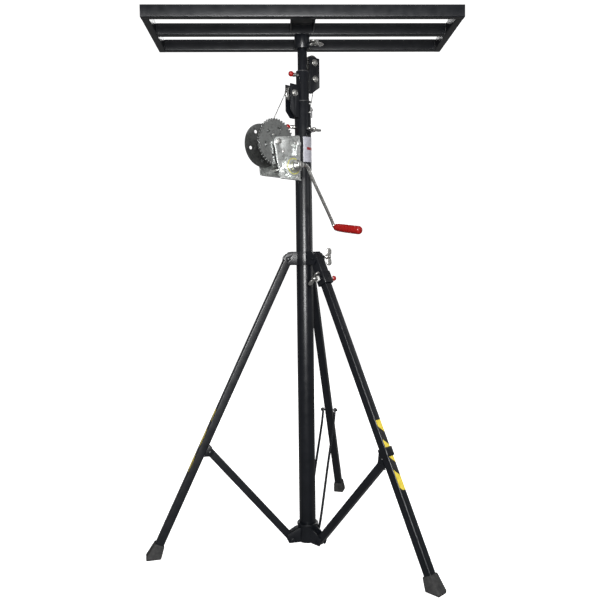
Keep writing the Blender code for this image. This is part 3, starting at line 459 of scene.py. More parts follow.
def fit(name, bm, body, finish, place=None, stands_for=(), sharp=35.0):
    piece = as_object(name, bm, finish, place, sharp)
    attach(piece, body)
    if stands_for:
        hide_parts(*([stands_for] if isinstance(stands_for, str) else stands_for))
    return piece


def refine(node, body, finish, ease_by=0.0006, sharper=38.0):
    bm = bmesh.new()
    bm.from_mesh(frame["nodes"][node].data)
    bmesh.ops.remove_doubles(bm, verts=bm.verts, dist=1e-5)
    bmesh.ops.dissolve_limit(bm, angle_limit=math.radians(1.0), verts=bm.verts, edges=bm.edges)
    ease(bm, ease_by, 2, sharper)
    return fit(node + "_fine", bm, body, finish, stands_for=node)


def cut(piece, bm):
    """Cut a bmesh, given where it sits on the stand, out of a piece and keep the result."""
    mesh = bpy.data.meshes.new("cutter")
    bm.to_mesh(mesh)
    bm.free()
    cutter = bpy.data.objects.new("cutter", mesh)
    bpy.context.scene.collection.objects.link(cutter)
    carve = piece.modifiers.new("carve", "BOOLEAN")
    carve.operation = "DIFFERENCE"
    carve.object = cutter
    graph = bpy.context.evaluated_depsgraph_get()
    carved = bpy.data.meshes.new_from_object(piece.evaluated_get(graph))
    piece.modifiers.remove(carve)
    piece.data = carved
    bpy.data.objects.remove(cutter)
    piece.data.set_sharp_from_angle(angle=math.radians(35.0))


# %% [markdown]
# ## Fasteners and welds
# A bolt is a hexagon with its corners turned off, a washer under it, and a domed thread end on
# the far side. A weld bead is a string of overlapping ripples, so it is a thin bar whose rings
# swell and shrink along its length.

# %% Bolts, rivets and welds
def hexagon(across, low, high):
    """A hexagonal head along Z, with its top corners turned off."""
    bm = bmesh.new()
    bmesh.ops.create_cone(bm, cap_ends=True, segments=6, radius1=across / math.sqrt(3),
                          radius2=across / math.sqrt(3), depth=high - low)
    bmesh.ops.translate(bm, verts=bm.verts, vec=(0, 0, (low + high) / 2))
    return ease(bm, 0.0007, 2, 50.0)


def bolt(half_grip, across=0.013, head=0.0055, shank=0.004, washer=0.0085):
    """A bolt along Y through something that is two half grips thick."""
    bm = hexagon(across, half_grip + 0.0012, half_grip + head)
    merge(bm, ring(washer, shank * 0.9, half_grip + 0.0001, half_grip + 0.0012, 32),
          hexagon(across, -half_grip - head, -half_grip - 0.0012),
          ring(washer, shank * 0.9, -half_grip - 0.0012, -half_grip - 0.0001, 32),
          disc(shank, -half_grip - head - 0.002, half_grip + head - 0.001, 24, "Z", 0.0006))
    return move(bm, LIE["Y"])


def rivet(radius, height=0.0025):
    """A domed rivet head, standing on Z = 0."""
    dome = [(0.0, -0.001), (radius, -0.001), (radius, height * 0.3), (radius * 0.8, height * 0.7),
            (radius * 0.45, height * 0.93), (0.0, height)]
    return lathe(dome, 28, "Z", 0.0002)


def weld(start, end, size=0.0022, ripple=0.0024):
    """A bead between two points: rings along a bar, each second one swollen."""
    start, end = Vector(start), Vector(end)
    length = (end - start).length
    count = max(6, int(length / ripple) * 2)
    bm = bmesh.new()
    bmesh.ops.create_circle(bm, cap_ends=True, radius=size * 0.45, segments=8)
    top = list(bm.faces)
    for i in range(1, count + 1):
        grown = bmesh.ops.extrude_face_region(bm, geom=top)["geom"]
        top = [g for g in grown if isinstance(g, bmesh.types.BMFace)]
        verts = top[0].verts
        swell = 0.45 if i == count else (1.0 if i % 2 else 0.82)
        centre = Vector((0, 0, length * i / count))
        for vert in verts:
            out = Vector((vert.co.x, vert.co.y, 0)).normalized() * size * swell
            vert.co = centre + out
    bmesh.ops.recalc_face_normals(bm, faces=bm.faces)
    aim = (end - start).to_track_quat("Z", "Y").to_matrix().to_4x4()
    return move(bm, Matrix.Translation(start) @ aim)


print("tools ready")

# %% [markdown]
# ## Platform
# The platform is a ladder of 25 by 41 mm tube: one full-width rail in front, two side rails
# butted behind it, and two rails between them. Each is the same rounded tube, laid in the box
# of its node, and the open ends are closed with moulded plugs.

# %% Rails and end plugs
PLUG = 0.002


def lay_tube(node, body, axis, trim=(0.0, 0.0)):
    """Rounded tube in a node's box, along X or Y, shortened a little for end plugs."""
    low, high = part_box(node)
    size, centre = high - low, (low + high) / 2
    long = size[axis]
    wide = size[1 - axis]
    bm = square_tube(size.z, wide, -long / 2 + trim[0], long / 2 - trim[1], 0.003, 0.002, 0.05)
    lie = LIE["X"] if axis == 0 else Matrix.Rotation(math.pi / 2, 4, "Z") @ LIE["X"]
    return fit(node + "_tube", bm, body, "powder_coat", Matrix.Translation(centre) @ lie, node)


def end_plug(name, body, centre, out, wide, tall):
    """A moulded cap on a tube's open end: a rounded flange and a short inner box."""
    boxes = []
    for start, stop, gap, ease_by in ((0.0, PLUG, 0.0004, 0.0009), (-0.012, 0.0005, 0.0022, 0.0008)):
        half_y, half_z = wide / 2 - gap, tall / 2 - gap
        boxes.append(block(start, stop, -half_y, half_y, -half_z, half_z, ease_by))
    return fit(name, merge(*boxes), body, "black_nylon", Matrix.Translation(centre) @ heading(Vector(out)))


lay_tube("front_rail", "platform", 0, (PLUG, PLUG))
lay_tube("middle_rail", "platform", 0)
lay_tube("rear_rail", "platform", 0)
for side in ("left", "right"):
    lay_tube(side + "_side_rail", "platform", 1, (0.0, PLUG))

front_low, front_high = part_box("front_rail")
rail_mid_z = (front_low.z + front_high.z) / 2
rail_tall, rail_wide = front_high.z - front_low.z, front_high.y - front_low.y
rail_mid_y = (front_low.y + front_high.y) / 2
for side, x, out in (("left", front_low.x + PLUG, -1), ("right", front_high.x - PLUG, 1)):
    end_plug(side + "_front_plug", "platform", (x, rail_mid_y, rail_mid_z), (out, 0, 0), rail_wide, rail_tall)
    rail_low, rail_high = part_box(side + "_side_rail")
    rear = ((rail_low.x + rail_high.x) / 2, rail_high.y - PLUG, rail_mid_z)
    end_plug(side + "_rear_plug", "platform", rear, (0, 1, 0), rail_wide, rail_tall)
print("rails", rail_wide, "by", rail_tall)

# %% [markdown]
# The rails are welded where they meet. The beads are small, but they catch the light at each
# corner, and a joint without one looks like two boxes that only touch.

# %% Welds of the platform
beads = []
for side, sign in (("left", 1), ("right", -1)):
    rail_low, rail_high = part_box(side + "_side_rail")
    inner_x = rail_high.x if sign > 0 else rail_low.x
    for rail in ("middle_rail", "rear_rail"):
        low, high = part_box(rail)
        for y in (low.y, high.y):
            beads.append(weld((inner_x + sign * 0.0006, y, low.z + 0.003),
                              (inner_x + sign * 0.0006, y, high.z - 0.003)))
    beads.append(weld((inner_x, front_high.y + 0.0004, front_low.z + 0.003),
                      (inner_x, front_high.y + 0.0004, front_high.z - 0.003)))
channel_low, channel_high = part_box("head_channel")
for x in (channel_low.x, channel_high.x):
    for y in (channel_low.y, channel_high.y):
        beads.append(weld((x, y, channel_low.z + 0.002), (x, y, channel_high.z - 0.003)))
fit("platform_welds", merge(*beads), "platform", "powder_coat")

# %% [markdown]
# Under the middle sits the head: a channel across the two front rails, and a round socket that
# drops over the inner mast. The socket is turned, with a threaded boss for its screw.

# %% Head channel and socket
refine("head_channel", "platform", "powder_coat", 0.0012)

socket_low, socket_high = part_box("platform_socket")
SOCKET_R = reach(Vector((socket_low.x, 0, 0)))
inner_r = radius_of("inner_mast")


def boss(joint, r_from, r_to):
    """A turned boss for a hand screw, with a chamfered mouth."""
    bm = ring(0.009, 0.0043, r_from, r_to, 40, "X", 0.0008)
    return move(bm, heading(direction(joint), pivot(joint).z))


top = socket_high.z
socket = ring(SOCKET_R, inner_r + 0.0003, socket_low.z, top, 72, "Z", 0.0010)
fit("socket_tube", socket, "platform", "powder_coat", stands_for="platform_socket")
fit("socket_boss", boss("platform_knob_turn", SOCKET_R - 0.002, 0.037), "platform", "powder_coat")
corners = [(SOCKET_R * math.cos(a), SOCKET_R * math.sin(a), top)
           for a in [math.tau * i / 12 for i in range(13)]]
rim = [weld(start, end) for start, end in zip(corners, corners[1:])]
fit("socket_weld", merge(*rim), "platform", "powder_coat")
print("socket radius", round(SOCKET_R, 4))

# %% [markdown]
# ## Mast
# Three steel tubes slide inside each other. Each is turned with a rounded rim, and a nylon bush
# in the rim keeps the next tube from rattling. The bush shows as a thin dark collar.

# %% Mast tubes and bushes
def mast_tube(node, body, wall):
    low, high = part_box(node)
    outside = radius_of(node) if node != "outer_mast" else OUTER_R
    bm = ring(outside, outside - wall, low.z, high.z, 96, "Z", 0.0006)
    return fit(node + "_tube", bm, body, "powder_coat", stands_for=node)


OUTER_R = radius_of("outer_mast_bush")
MIDDLE_R = radius_of("middle_mast")
mast_tube("outer_mast", "mast", 0.0025)
mast_tube("middle_mast", "middle_mast", 0.0025)
mast_tube("inner_mast", "inner_mast", 0.0020)


def bush(node, body, outside, bore):
    """A flanged bush whose lip stands on the tube's rim."""
    low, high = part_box(node)
    lip = high.z - 0.0042
    profile = [(bore, low.z), (outside - 0.0028, low.z), (outside - 0.0028, lip), (outside, lip),
               (outside, high.z), (bore, high.z)]
    return fit(node + "_turned", lathe(profile, 80, "Z", 0.0008), body, "black_nylon", stands_for=node)


bush("outer_mast_bush", "mast", OUTER_R, MIDDLE_R + 0.0003)
bush("middle_mast_bush", "middle_mast", MIDDLE_R, radius_of("inner_mast") + 0.0003)
for node, body in (("middle_mast_guide", "middle_mast"), ("inner_mast_guide", "inner_mast")):
    low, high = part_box(node)
    fit(node + "_turned", ring(radius_of(node), radius_of(body) + 0.0003, low.z, high.z, 64), body,
        "black_nylon", stands_for=node)

plug_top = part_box("mast_foot_plug")[1].z
plug = [(0.0, 0.0), (OUTER_R - 0.002, 0.0), (OUTER_R, 0.002), (OUTER_R, 0.0117), (OUTER_R - 0.0028, 0.0117),
        (OUTER_R - 0.0028, plug_top), (0.0, plug_top)]
fit("mast_foot_turned", lathe(plug, 72), "mast", "foot_rubber", stands_for="mast_foot_plug")
print("mast radii", OUTER_R, MIDDLE_R)

# %% [markdown]
# A small black screw holds the inner mast's stop at the top of the middle section, two bright
# rivets hold the bush in the outer section, and the lift cable ends on a lug behind it.

# %% Fittings on the mast
outer_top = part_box("outer_mast")[1].z
cable_side = heading(pivot("upper_pulley_spin"))
lug = block(OUTER_R - 0.001, 0.0400, -0.007, 0.007, outer_top - 0.047, outer_top - 0.009, 0.0012)
fit("cable_lug", lug, "mast", "powder_coat", cable_side)
fit("cable_lug_bolt", move(bolt(0.0072, 0.009, 0.0045, 0.003, 0.0055), shift(0.035, 0, outer_top - 0.020)),
    "mast", "bright_plating", cable_side)
RIVET_SIDE = heading(Vector((0.80, -0.60, 0)))
for number, drop in enumerate((0.006, 0.036)):
    head = move(rivet(0.0042, 0.0022), shift(OUTER_R, 0, outer_top - drop) @ LIE["X"])
    fit(f"bush_rivet_{number + 1}", head, "mast", "bright_plating", RIVET_SIDE)
middle_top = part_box("middle_mast")[1].z
stop_side = heading(direction("mast_pin_pull"))
screw = merge(ring(0.006, 0.002, MIDDLE_R - 0.0005, MIDDLE_R + 0.004, 24, "X"),
              disc(0.0065, MIDDLE_R + 0.004, MIDDLE_R + 0.013, 24, "X", 0.001))
fit("stop_screw", screw, "middle_mast", "black_nylon", shift(0, 0, middle_top - 0.009) @ stop_side)
print("fittings on the mast")

# %% [markdown]
# ## Cable pulleys
# Each pulley is a steel sheave in a welded bracket. The bracket's own shape comes from the
# model, with its edges rounded. The sheave is turned, with a real groove for the rope.

# %% Brackets, sheaves and their bolts
def sheave(node, joint, body, groove):
    low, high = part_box(node)
    rim = (high.z - low.z) / 2
    floor, bore = groove - 0.0016, 0.0043
    half = 0.0085
    profile = [(bore, -half), (rim * 0.42, -half), (rim * 0.46, -half + 0.0016),
               (rim - 0.005, -half + 0.0016), (rim - 0.003, -half), (rim, -half), (rim, -half + 0.0015)]
    profile += [(floor + 0.0022 * (1 - math.cos(t)), 0.0026 * math.sin(t)) for t in
                [math.radians(a) for a in range(-80, 81, 20)]]
    profile += [(r, -z) for r, z in reversed(profile[:7])]
    sheave_bm = lathe(profile, 72, "Y", 0.0003)
    return fit(node + "_sheave", sheave_bm, body, "bright_plating", out_at(joint), node)


LOWER_GROOVE, UPPER_GROOVE = 0.0255, 0.0265
BRACKET_HALF = 0.0150                             # half the width of a pulley bracket
sheave("lower_pulley", "lower_pulley_spin", "lower_pulley", LOWER_GROOVE)
sheave("upper_pulley", "upper_pulley_spin", "upper_pulley", UPPER_GROOVE)
for level, body in (("lower", "mast"), ("upper", "middle_mast")):
    refine(level + "_pulley_bracket", body, "powder_coat", 0.0007)
    fit(level + "_pulley_screw", bolt(BRACKET_HALF - 0.0002, 0.018, 0.0070, 0.005, 0.0120), body,
        "bright_plating", out_at(level + "_pulley_spin"), level + "_pulley_bolt")
    tube_r = OUTER_R if level == "lower" else MIDDLE_R
    low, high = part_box(level + "_pulley_bracket")
    end_z = min(high.z, outer_top if level == "lower" else middle_top) - 0.004
    seam_u = math.sqrt(tube_r ** 2 - BRACKET_HALF ** 2) + 0.0005      # where its sides meet the tube
    seams = [weld((seam_u, y, low.z + 0.006), (seam_u, y, end_z), 0.0020)
             for y in (-BRACKET_HALF, BRACKET_HALF)]
    fit(level + "_bracket_welds", merge(*seams), body, "powder_coat",
        heading(pivot(level + "_pulley_spin")))
keeper = heading(pivot("upper_pulley_spin")) @ shift(0.0488, 0, 1.684)
fit("upper_keeper_bolt", bolt(BRACKET_HALF - 0.0002, 0.017, 0.0065, 0.005, 0.0115), "middle_mast",
    "bright_plating", keeper)
print("pulleys")

# %% [markdown]
# ## Wire ropes
# The winch rope runs from the drum over the lower pulley and down inside the mast. The lift rope
# runs from its lug over the upper pulley to the foot of the inner mast. Each straight run that a
# lift stretches is its own piece, made where it hangs and set on no body.

# %% Wire ropes
ROPE_R = 0.0016


def rope_run(name, body, points, place, stands_for):
    return fit(name, swept(points, ROPE_R, smooth=False, resolution=3), body, "wire_rope", place, stands_for)


def rounds(u, z, radius, start, end, steps=28):
    return [(u + radius * math.cos(a), 0.0, z + radius * math.sin(a))
            for a in [start + (end - start) * i / steps for i in range(steps + 1)]]


lower, upper = pivot("lower_pulley_spin"), pivot("upper_pulley_spin")
drum_rope_r = 0.0219
out, rise = DRUM[0] - reach(lower), DRUM[1] - lower.z
leave = math.atan2(rise, out) + math.acos((LOWER_GROOVE - drum_rope_r) / math.hypot(out, rise))
first = (DRUM[0] + drum_rope_r * math.cos(leave), 0.0, DRUM[1] + drum_rope_r * math.sin(leave))
rope_run("winch_rope", "mast", [first] + rounds(reach(lower), lower.z, LOWER_GROOVE, leave, math.pi),
         heading(lower), "winch_cable")

anchor_u, anchor_z = 0.0350, outer_top - 0.009
out, rise = anchor_u - reach(upper), anchor_z - upper.z
touch = math.atan2(rise, out) + math.acos(UPPER_GROOVE / math.hypot(out, rise))
rope_run("lift_rope_bend", "middle_mast", rounds(reach(upper), upper.z, UPPER_GROOVE, touch, math.pi),
         heading(upper), "lift_cable_bend")


def stretched_rope(name, node, points, place):
    """A straight run between two sections, baked where it hangs and set on no body."""
    bm = move(swept(points, ROPE_R, smooth=False, resolution=3), place)
    piece = as_object(name, bm, "wire_rope")
    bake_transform(piece)
    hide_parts(node)
    return piece


def straight(a, b, pieces=60):
    return [tuple(Vector(a).lerp(Vector(b), i / pieces)) for i in range(pieces + 1)]


for node, joint, fixed, moving, groove in (
        ("winch_cable_drop", "lower_pulley_spin", "mast", "middle_mast", LOWER_GROOVE),
        ("lift_cable_drop", "upper_pulley_spin", "middle_mast", "inner_mast", UPPER_GROOVE)):
    low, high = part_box(node)
    u = reach(pivot(joint)) - groove
    run = straight((u, 0, pivot(joint).z), (u, 0, low.z))
    place = heading(pivot(joint))
    stretched_rope(node + "_rope", node, run, place)
foot, tip = (anchor_u, 0, anchor_z - 0.012), (reach(upper) + UPPER_GROOVE * math.cos(touch), 0,
                                                upper.z + UPPER_GROOVE * math.sin(touch))
place = heading(upper)
stretched_rope("lift_rope", "lift_cable", straight(foot, tip), place)
print("rope leaves the drum at", round(math.degrees(leave), 1), "degrees")

# %% [markdown]
# ## Winch
# The winch is pressed from galvanised sheet: two side plates on a base, a drum with two flanges,
# and a large gear driven by a small one on the crank's shaft. A toothed disc and a pawl hold
# the load. The plates come from the model; what turns is made again, finer.

# %% Frame plates and their bolts
# The frame's plates take the lightened copy of the zinc, a painted reflection.
refine("winch_frame", "mast", "zinc_painted_light", 0.0008)
refine("winch_mount", "mast", "powder_coat", 0.0015)
frame_low, frame_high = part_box("winch_frame")
for number, z in enumerate((1.352, 1.418)):
    head = move(bolt(0.004, 0.013, 0.006, 0.004, 0.009), Matrix.Rotation(math.pi / 2, 4, "Z"))
    fit(f"winch_mount_bolt_{number + 1}", head, "mast", "bright_plating", WINCH @ shift(0.0615, 0.0, z))
PLATE_FRONT, PLATE_REAR = 0.052, -0.046           # outer faces of the side plates
WINCH_SPOTS = {"frame_rivet_front": (0.0745, 1.3160), "frame_rivet_upper": (0.138, 1.397)}
for name, (u, z) in WINCH_SPOTS.items():
    head = move(rivet(0.0045, 0.0025), shift(u, PLATE_FRONT, z) @ LIE["Y"])
    fit(name, head, "mast", "bright_plating", WINCH)
print("winch frame", frame_low.z, frame_high.z)

# %% [markdown]
# A drum flange is a dished plate with a rolled rim and a few round holes. The holes are cut with
# a Boolean from a ring of cutters, because they don't line up with the mesh's own faces.

# %% Drum with its wraps of rope
AT_DRUM = WINCH @ shift(DRUM[0], 0, DRUM[1])
AT_CRANK = WINCH @ shift(CRANK[0], 0, CRANK[1])
CORE_R, FLANGE_R, BORE = 0.020, 0.075, 0.0063
DRUM_BACK, DRUM_FRONT, SHEET = -0.0375, 0.0360, 0.0025


def holes_round(count, at_radius, radius, place, phase=0.0, oval=1.0):
    """Cutters in a ring round a shaft, long enough to go right through."""
    cutters = []
    for i in range(count):
        turn = Matrix.Rotation(math.tau * (i + phase) / count, 4, "Y")
        hole = move(disc(radius, -0.1, 0.1, 24, "Y", 0), Matrix.Diagonal((1.0, 1.0, oval, 1.0)))
        cutters.append(move(hole, place @ turn @ shift(at_radius, 0, 0)))
    return merge(*cutters)


def flange(inner_face, outer_face):
    """A pressed flange with a rolled rim; its outer face looks away from the rope."""
    sign = 1 if outer_face > inner_face else -1
    rolled = [(FLANGE_R, inner_face), (FLANGE_R, outer_face), (FLANGE_R - 0.004, outer_face),
              (FLANGE_R - 0.006, outer_face - sign * 0.0009), (0.036, outer_face - sign * 0.0009),
              (0.033, outer_face), (BORE, outer_face), (BORE, inner_face)]
    return lathe(rolled, 112, "Y", 0.0004)


# The drum takes the darkened copy of the zinc, painted shade from the gear in front of it.
for name, inner_face, outer_face, stands_for in (
        ("drum_back_flange", DRUM_BACK + SHEET, DRUM_BACK, "winch_drum"),
        ("drum_front_flange", DRUM_FRONT - SHEET, DRUM_FRONT, ())):
    piece = fit(name, flange(inner_face, outer_face), "drum", "zinc_painted_shade", AT_DRUM, stands_for)
    cut(piece, holes_round(5, 0.052, 0.006, AT_DRUM, phase=0.2))
core = ring(CORE_R, BORE, DRUM_BACK + SHEET - 0.0005, DRUM_FRONT - SHEET + 0.0005, 64, "Y")
fit("drum_core", core, "drum", "zinc_painted_shade", AT_DRUM)

TURNS, PER_TURN = 10, 32                          # one layer, laid side by side
wraps = []
for i in range(TURNS * PER_TURN + 1):
    a = leave + math.tau * (i / PER_TURN - TURNS)
    wraps.append((drum_rope_r * math.cos(a), -2 * ROPE_R * TURNS * (1 - i / (TURNS * PER_TURN)),
                  drum_rope_r * math.sin(a)))
fit("drum_wraps", swept(wraps, ROPE_R, smooth=False, resolution=2), "drum", "wire_rope", AT_DRUM)
clamp = move(bolt(0.0016, 0.008, 0.004, 0.0025, 0.005), shift(0.034, DRUM_FRONT - 0.001, 0.0))
fit("rope_clamp_bolt", clamp, "drum", "bright_plating", AT_DRUM)
print("drum with", TURNS, "turns of rope")

# %% [markdown]
# A gear can start as a plain circle with eight points for each tooth. Moving each point in or
# out by its place in the tooth gives the root, the flanks and the tip; pulling the outline out
# and easing it makes the gear. The real one is stamped with oval holes round its web.

# %% Gear and pinion
MODULE = 0.0035
TOOTH = (-1.15, -1.15, -0.15, 0.72, 0.85, 0.72, -0.15, -1.15)   # height round one tooth, in modules


def gear(teeth, low, high, ease_by):
    """A spur gear along Y with a tooth pointing along +X."""
    bm = bmesh.new()
    count = teeth * len(TOOTH)
    made = bmesh.ops.create_circle(bm, cap_ends=True, radius=1.0, segments=count)["verts"]
    step = math.tau / count
    for vert in made:
        angle = math.atan2(vert.co.y, vert.co.x)
        place = (round(angle / step) + 4) % len(TOOTH)
        vert.co = vert.co.normalized() * MODULE * (teeth / 2 + TOOTH[place])
    pull(bm, bmesh.ops.extrude_face_region(bm, geom=list(bm.faces)), (0, 0, high - low))
    bmesh.ops.recalc_face_normals(bm, faces=bm.faces)
    rims = [e for e in bm.edges if e.is_manifold and e.calc_face_angle(0.0) > 1.3 and
            abs(e.verts[0].co.z - e.verts[1].co.z) < 1e-6]
    bmesh.ops.bevel(bm, geom=rims, offset=ease_by, offset_type="OFFSET", affect="EDGES", segments=1,
                    profile=0.5, material=-1, clamp_overlap=True)
    return move(bm, LIE["-Y"] @ shift(0, 0, -high))


toward = Vector((CRANK[0] - DRUM[0], 0, CRANK[1] - DRUM[1]))
MESH_TURN = math.atan2(toward.z, toward.x)
GEAR_TEETH, PINION_TEETH = 44, 12
GEAR_BACK, GEAR_FRONT = 0.0365, 0.0425
big = gear(GEAR_TEETH, GEAR_BACK, GEAR_FRONT, 0.0003)
big = fit("drive_gear", big, "drum", "gear_zinc", AT_DRUM @ Matrix.Rotation(-MESH_TURN, 4, "Y"), "drum_gear")
cut(big, holes_round(1, 0.0, BORE, AT_DRUM))
cut(big, holes_round(6, 0.047, 0.0048, AT_DRUM, phase=0.25, oval=1.7))
fit("gear_hub", ring(0.020, BORE, GEAR_FRONT - 0.0005, GEAR_FRONT + 0.0040, 48, "Y", 0.0008), "drum",
    "gear_zinc", AT_DRUM)
gear_rivets = [move(rivet(0.004, 0.002), Matrix.Rotation(math.tau * (i + 0.5) / 3, 4, "Y") @
                    shift(0.028, GEAR_FRONT, 0) @ LIE["Y"]) for i in range(3)]
fit("gear_rivets", merge(*gear_rivets), "drum", "bright_plating", AT_DRUM)
small = move(gear(PINION_TEETH, GEAR_BACK, GEAR_FRONT + 0.003, 0.0003),
             Matrix.Rotation(-(MESH_TURN + math.pi + math.pi / PINION_TEETH), 4, "Y"))
shaft = disc(0.008, PLATE_REAR - 0.008, PLATE_FRONT + 0.030, 48, "Y", 0.001)
fit("pinion_shaft", merge(small, shaft), "crank", "bright_plating", AT_CRANK, "crank_pinion")
axle = merge(disc(0.006, PLATE_REAR - 0.006, PLATE_FRONT + 0.006, 40, "Y", 0.001),
             move(hexagon(0.0187, 0.0003, 0.0073), LIE["Y"] @ shift(0, 0, PLATE_FRONT)),
             move(hexagon(0.0187, -0.0073, -0.0003), LIE["Y"] @ shift(0, 0, PLATE_REAR)))
fit("drum_axle_bolt", axle, "mast", "bright_plating", AT_DRUM, "drum_axle")
print("gears", GEAR_TEETH, "and", PINION_TEETH)

# %% [markdown]
# The brake is a notched disc that the pawl drops into, behind a turned hub. The crank arm is a
# bright steel bar, bent at both ends, and the grip turns freely on the arm's end. A swept curve
# suits the bar, because the path's few points round themselves off.

# %% Brake disc, pawl and crank
NOTCHES = 20
DISC_BACK, DISC_FRONT = PLATE_FRONT + 0.0010, PLATE_FRONT + 0.0085
teeth_outline = []
for k in range(NOTCHES):
    for share, r in ((0.0, 0.0370), (0.82, 0.0335)):
        a = -(k + share) * math.tau / NOTCHES
        teeth_outline.append((r * math.cos(a), r * math.sin(a)))
# The brake wheel and the pawl take the lightened copy of the zinc, a painted reflection.
ratchet = fit("brake_wheel", plate(teeth_outline, DISC_BACK, DISC_FRONT, 0.0004), "crank", "zinc_painted_light",
              AT_CRANK, "brake_disc")
cut(ratchet, holes_round(1, 0.0, 0.0083, AT_CRANK))
refine("pawl", "pawl", "zinc_painted_light", 0.0008)
fit("pawl_rivet", move(rivet(0.0055, 0.0035), LIE["Y"] @ shift(0, 0, PLATE_FRONT + 0.0108)), "pawl",
    "bright_plating", WINCH @ shift(reach(pivot("pawl_swing")), 0, pivot("pawl_swing").z))
fit("brake_ring", ring(0.0276, 0.0252, DISC_FRONT - 0.0002, DISC_FRONT + 0.0012, 64, "Y", 0.0003), "crank",
    "ring_yellow", AT_CRANK)

ARM_V, ARM_R = 0.089, 0.006
grip_axis = WINCH.to_3x3().inverted() @ direction("grip_spin")       # it droops a little
spot = WINCH.inverted() @ pivot("grip_spin")
arm_end = spot + grip_axis * (ARM_V - spot.y) / grip_axis.y          # where the arm meets the spindle
down_u, down_z = arm_end.x - CRANK[0], arm_end.z - CRANK[1]
HUB_R = 0.0190
hub = [(0.0083, DISC_FRONT + 0.0003), (HUB_R, DISC_FRONT + 0.0003), (HUB_R, ARM_V - 0.0080),
       (HUB_R - 0.0010, ARM_V - 0.0060), (HUB_R - 0.0035, ARM_V - 0.0030), (HUB_R - 0.0050, ARM_V - 0.0022),
       (0.0083, ARM_V - 0.0022)]
fit("crank_hub", lathe(hub, 72, "Y", 0.0006), "crank", "bright_plating", AT_CRANK, "crank_arm")
fit("crank_nut", move(hexagon(0.0200, 0.0, 0.0080), LIE["Y"] @ shift(0, 0, ARM_V + 0.0045)), "crank",
    "bright_plating", AT_CRANK)
path = [(0.006, ARM_V, 0.0), (-0.008, ARM_V, 0.002), (-0.030, ARM_V, 0.002), (-0.046, ARM_V, -0.010),
        (-0.056, ARM_V, -0.034), (down_u + 0.008, ARM_V, down_z + 0.022), (down_u, ARM_V, down_z),
        tuple(Vector((down_u, ARM_V, down_z)) + grip_axis * 0.012),
        tuple(Vector((down_u, ARM_V, down_z)) + grip_axis * 0.020)]
fit("crank_bar", swept(path, ARM_R, resolution=7, steps=10), "crank", "bright_plating", AT_CRANK)
eye = ring(0.0125, 0.0080, ARM_V - 0.0060, ARM_V + 0.0048, 48, "Y", 0.0012)
fit("crank_eye", eye, "crank", "bright_plating", AT_CRANK)
print("arm reaches", round(math.hypot(down_u, down_z), 3))

# %% Grip
GRIP_V0, GRIP_V1, GRIP_R = 0.0095, 0.1330, 0.0150  # along the grip, from the arm's end
AT_GRIP = WINCH @ Matrix.Translation(arm_end) @ Matrix.Rotation(math.asin(grip_axis.z), 4, "X")
grip = [(0.0112, GRIP_V0), (0.0122, GRIP_V0 + 0.0015), (0.0128, GRIP_V0 + 0.006),
        (0.0140, GRIP_V0 + 0.014), (GRIP_R - 0.0003, GRIP_V0 + 0.030), (GRIP_R, GRIP_V0 + 0.060),
        (GRIP_R - 0.0002, GRIP_V1 - 0.014)]
grip += [((GRIP_R - 0.0002) * math.cos(a) ** 0.7, GRIP_V1 - 0.012 + 0.012 * math.sin(a))
         for a in [math.radians(d) for d in (15, 30, 45, 60, 72, 82)]]
grip.append((0.0, GRIP_V1))
fit("grip_moulding", lathe(grip, 72, "Y", 0), "grip", "red_plastic_gloss", AT_GRIP, "crank_grip", 50.0)
print("grip", round(GRIP_V1 - GRIP_V0, 4), "long")

# %% [markdown]
# ## Hand screws and spring pins
# A wing screw is a cast nut with two thick rounded wings on a stem. The wings start as a flat
# outline and get a generous bevel, which melts the edges the way a casting does.
# A spring pin is a plunger in a barrel with a hexagonal collar and a red ball to pull.

# %% Wing screws
def wing_screw(name, joint, tip, wings_at, turn=0.0):
    axis, place = direction(joint), pivot(joint)
    centre = place - axis * 0.04 if name == "leg_knob" else Vector((0, 0, place.z))
    stem = disc(0.004, tip, wings_at, 28, "X", 0.0005)
    for k in range(7):
        crest = wings_at - 0.016 - 0.0022 * k
        merge(stem, ring(0.0044, 0.0030, crest - 0.0006, crest + 0.0006, 24, "X", 0.0004))
    nut = [(0.0, -0.010), (0.0082, -0.010), (0.0088, -0.004), (0.0080, 0.006), (0.0058, 0.0088),
           (0.0, 0.0092)]
    merge(stem, lathe([(r, wings_at + x) for r, x in nut], 40, "X", 0.0006))
    wing = [(-0.007, 0.004), (-0.008, 0.020), *arc(0.002, 0.022, 0.010, 180, 0, 12),
            (0.0115, 0.012), (0.007, 0.004)]
    for sign in (1, -1):
        lobe = plate([(x, z * sign) for x, z in wing], -0.0030, 0.0030, 0)
        ease(lobe, 0.0022, 4, 30.0)
        merge(stem, move(lobe, shift(wings_at)))
    place = Matrix.Translation(centre) @ lying_along(axis) @ Matrix.Rotation(turn, 4, "X")
    return fit(name + "_cast", stem, name, "bright_plating", place, name, 50.0)


QUARTER = math.pi / 2
wing_screw("platform_knob", "platform_knob_turn", inner_r + 0.0008, 0.064, QUARTER)
wing_screw("mast_knob", "mast_knob_turn", MIDDLE_R + 0.0006, 0.056, QUARTER)
wing_screw("collar_knob", "collar_knob_turn", OUTER_R + 0.0006, 0.090)
wing_screw("leg_knob", "leg_knob_turn", 0.0150, 0.048, -QUARTER / 2)
fit("mast_boss", boss("mast_knob_turn", OUTER_R - 0.002, 0.040), "mast", "powder_coat")
fit("collar_boss", boss("collar_knob_turn", 0.0355, 0.048), "collar", "powder_coat")
print("wing screws")


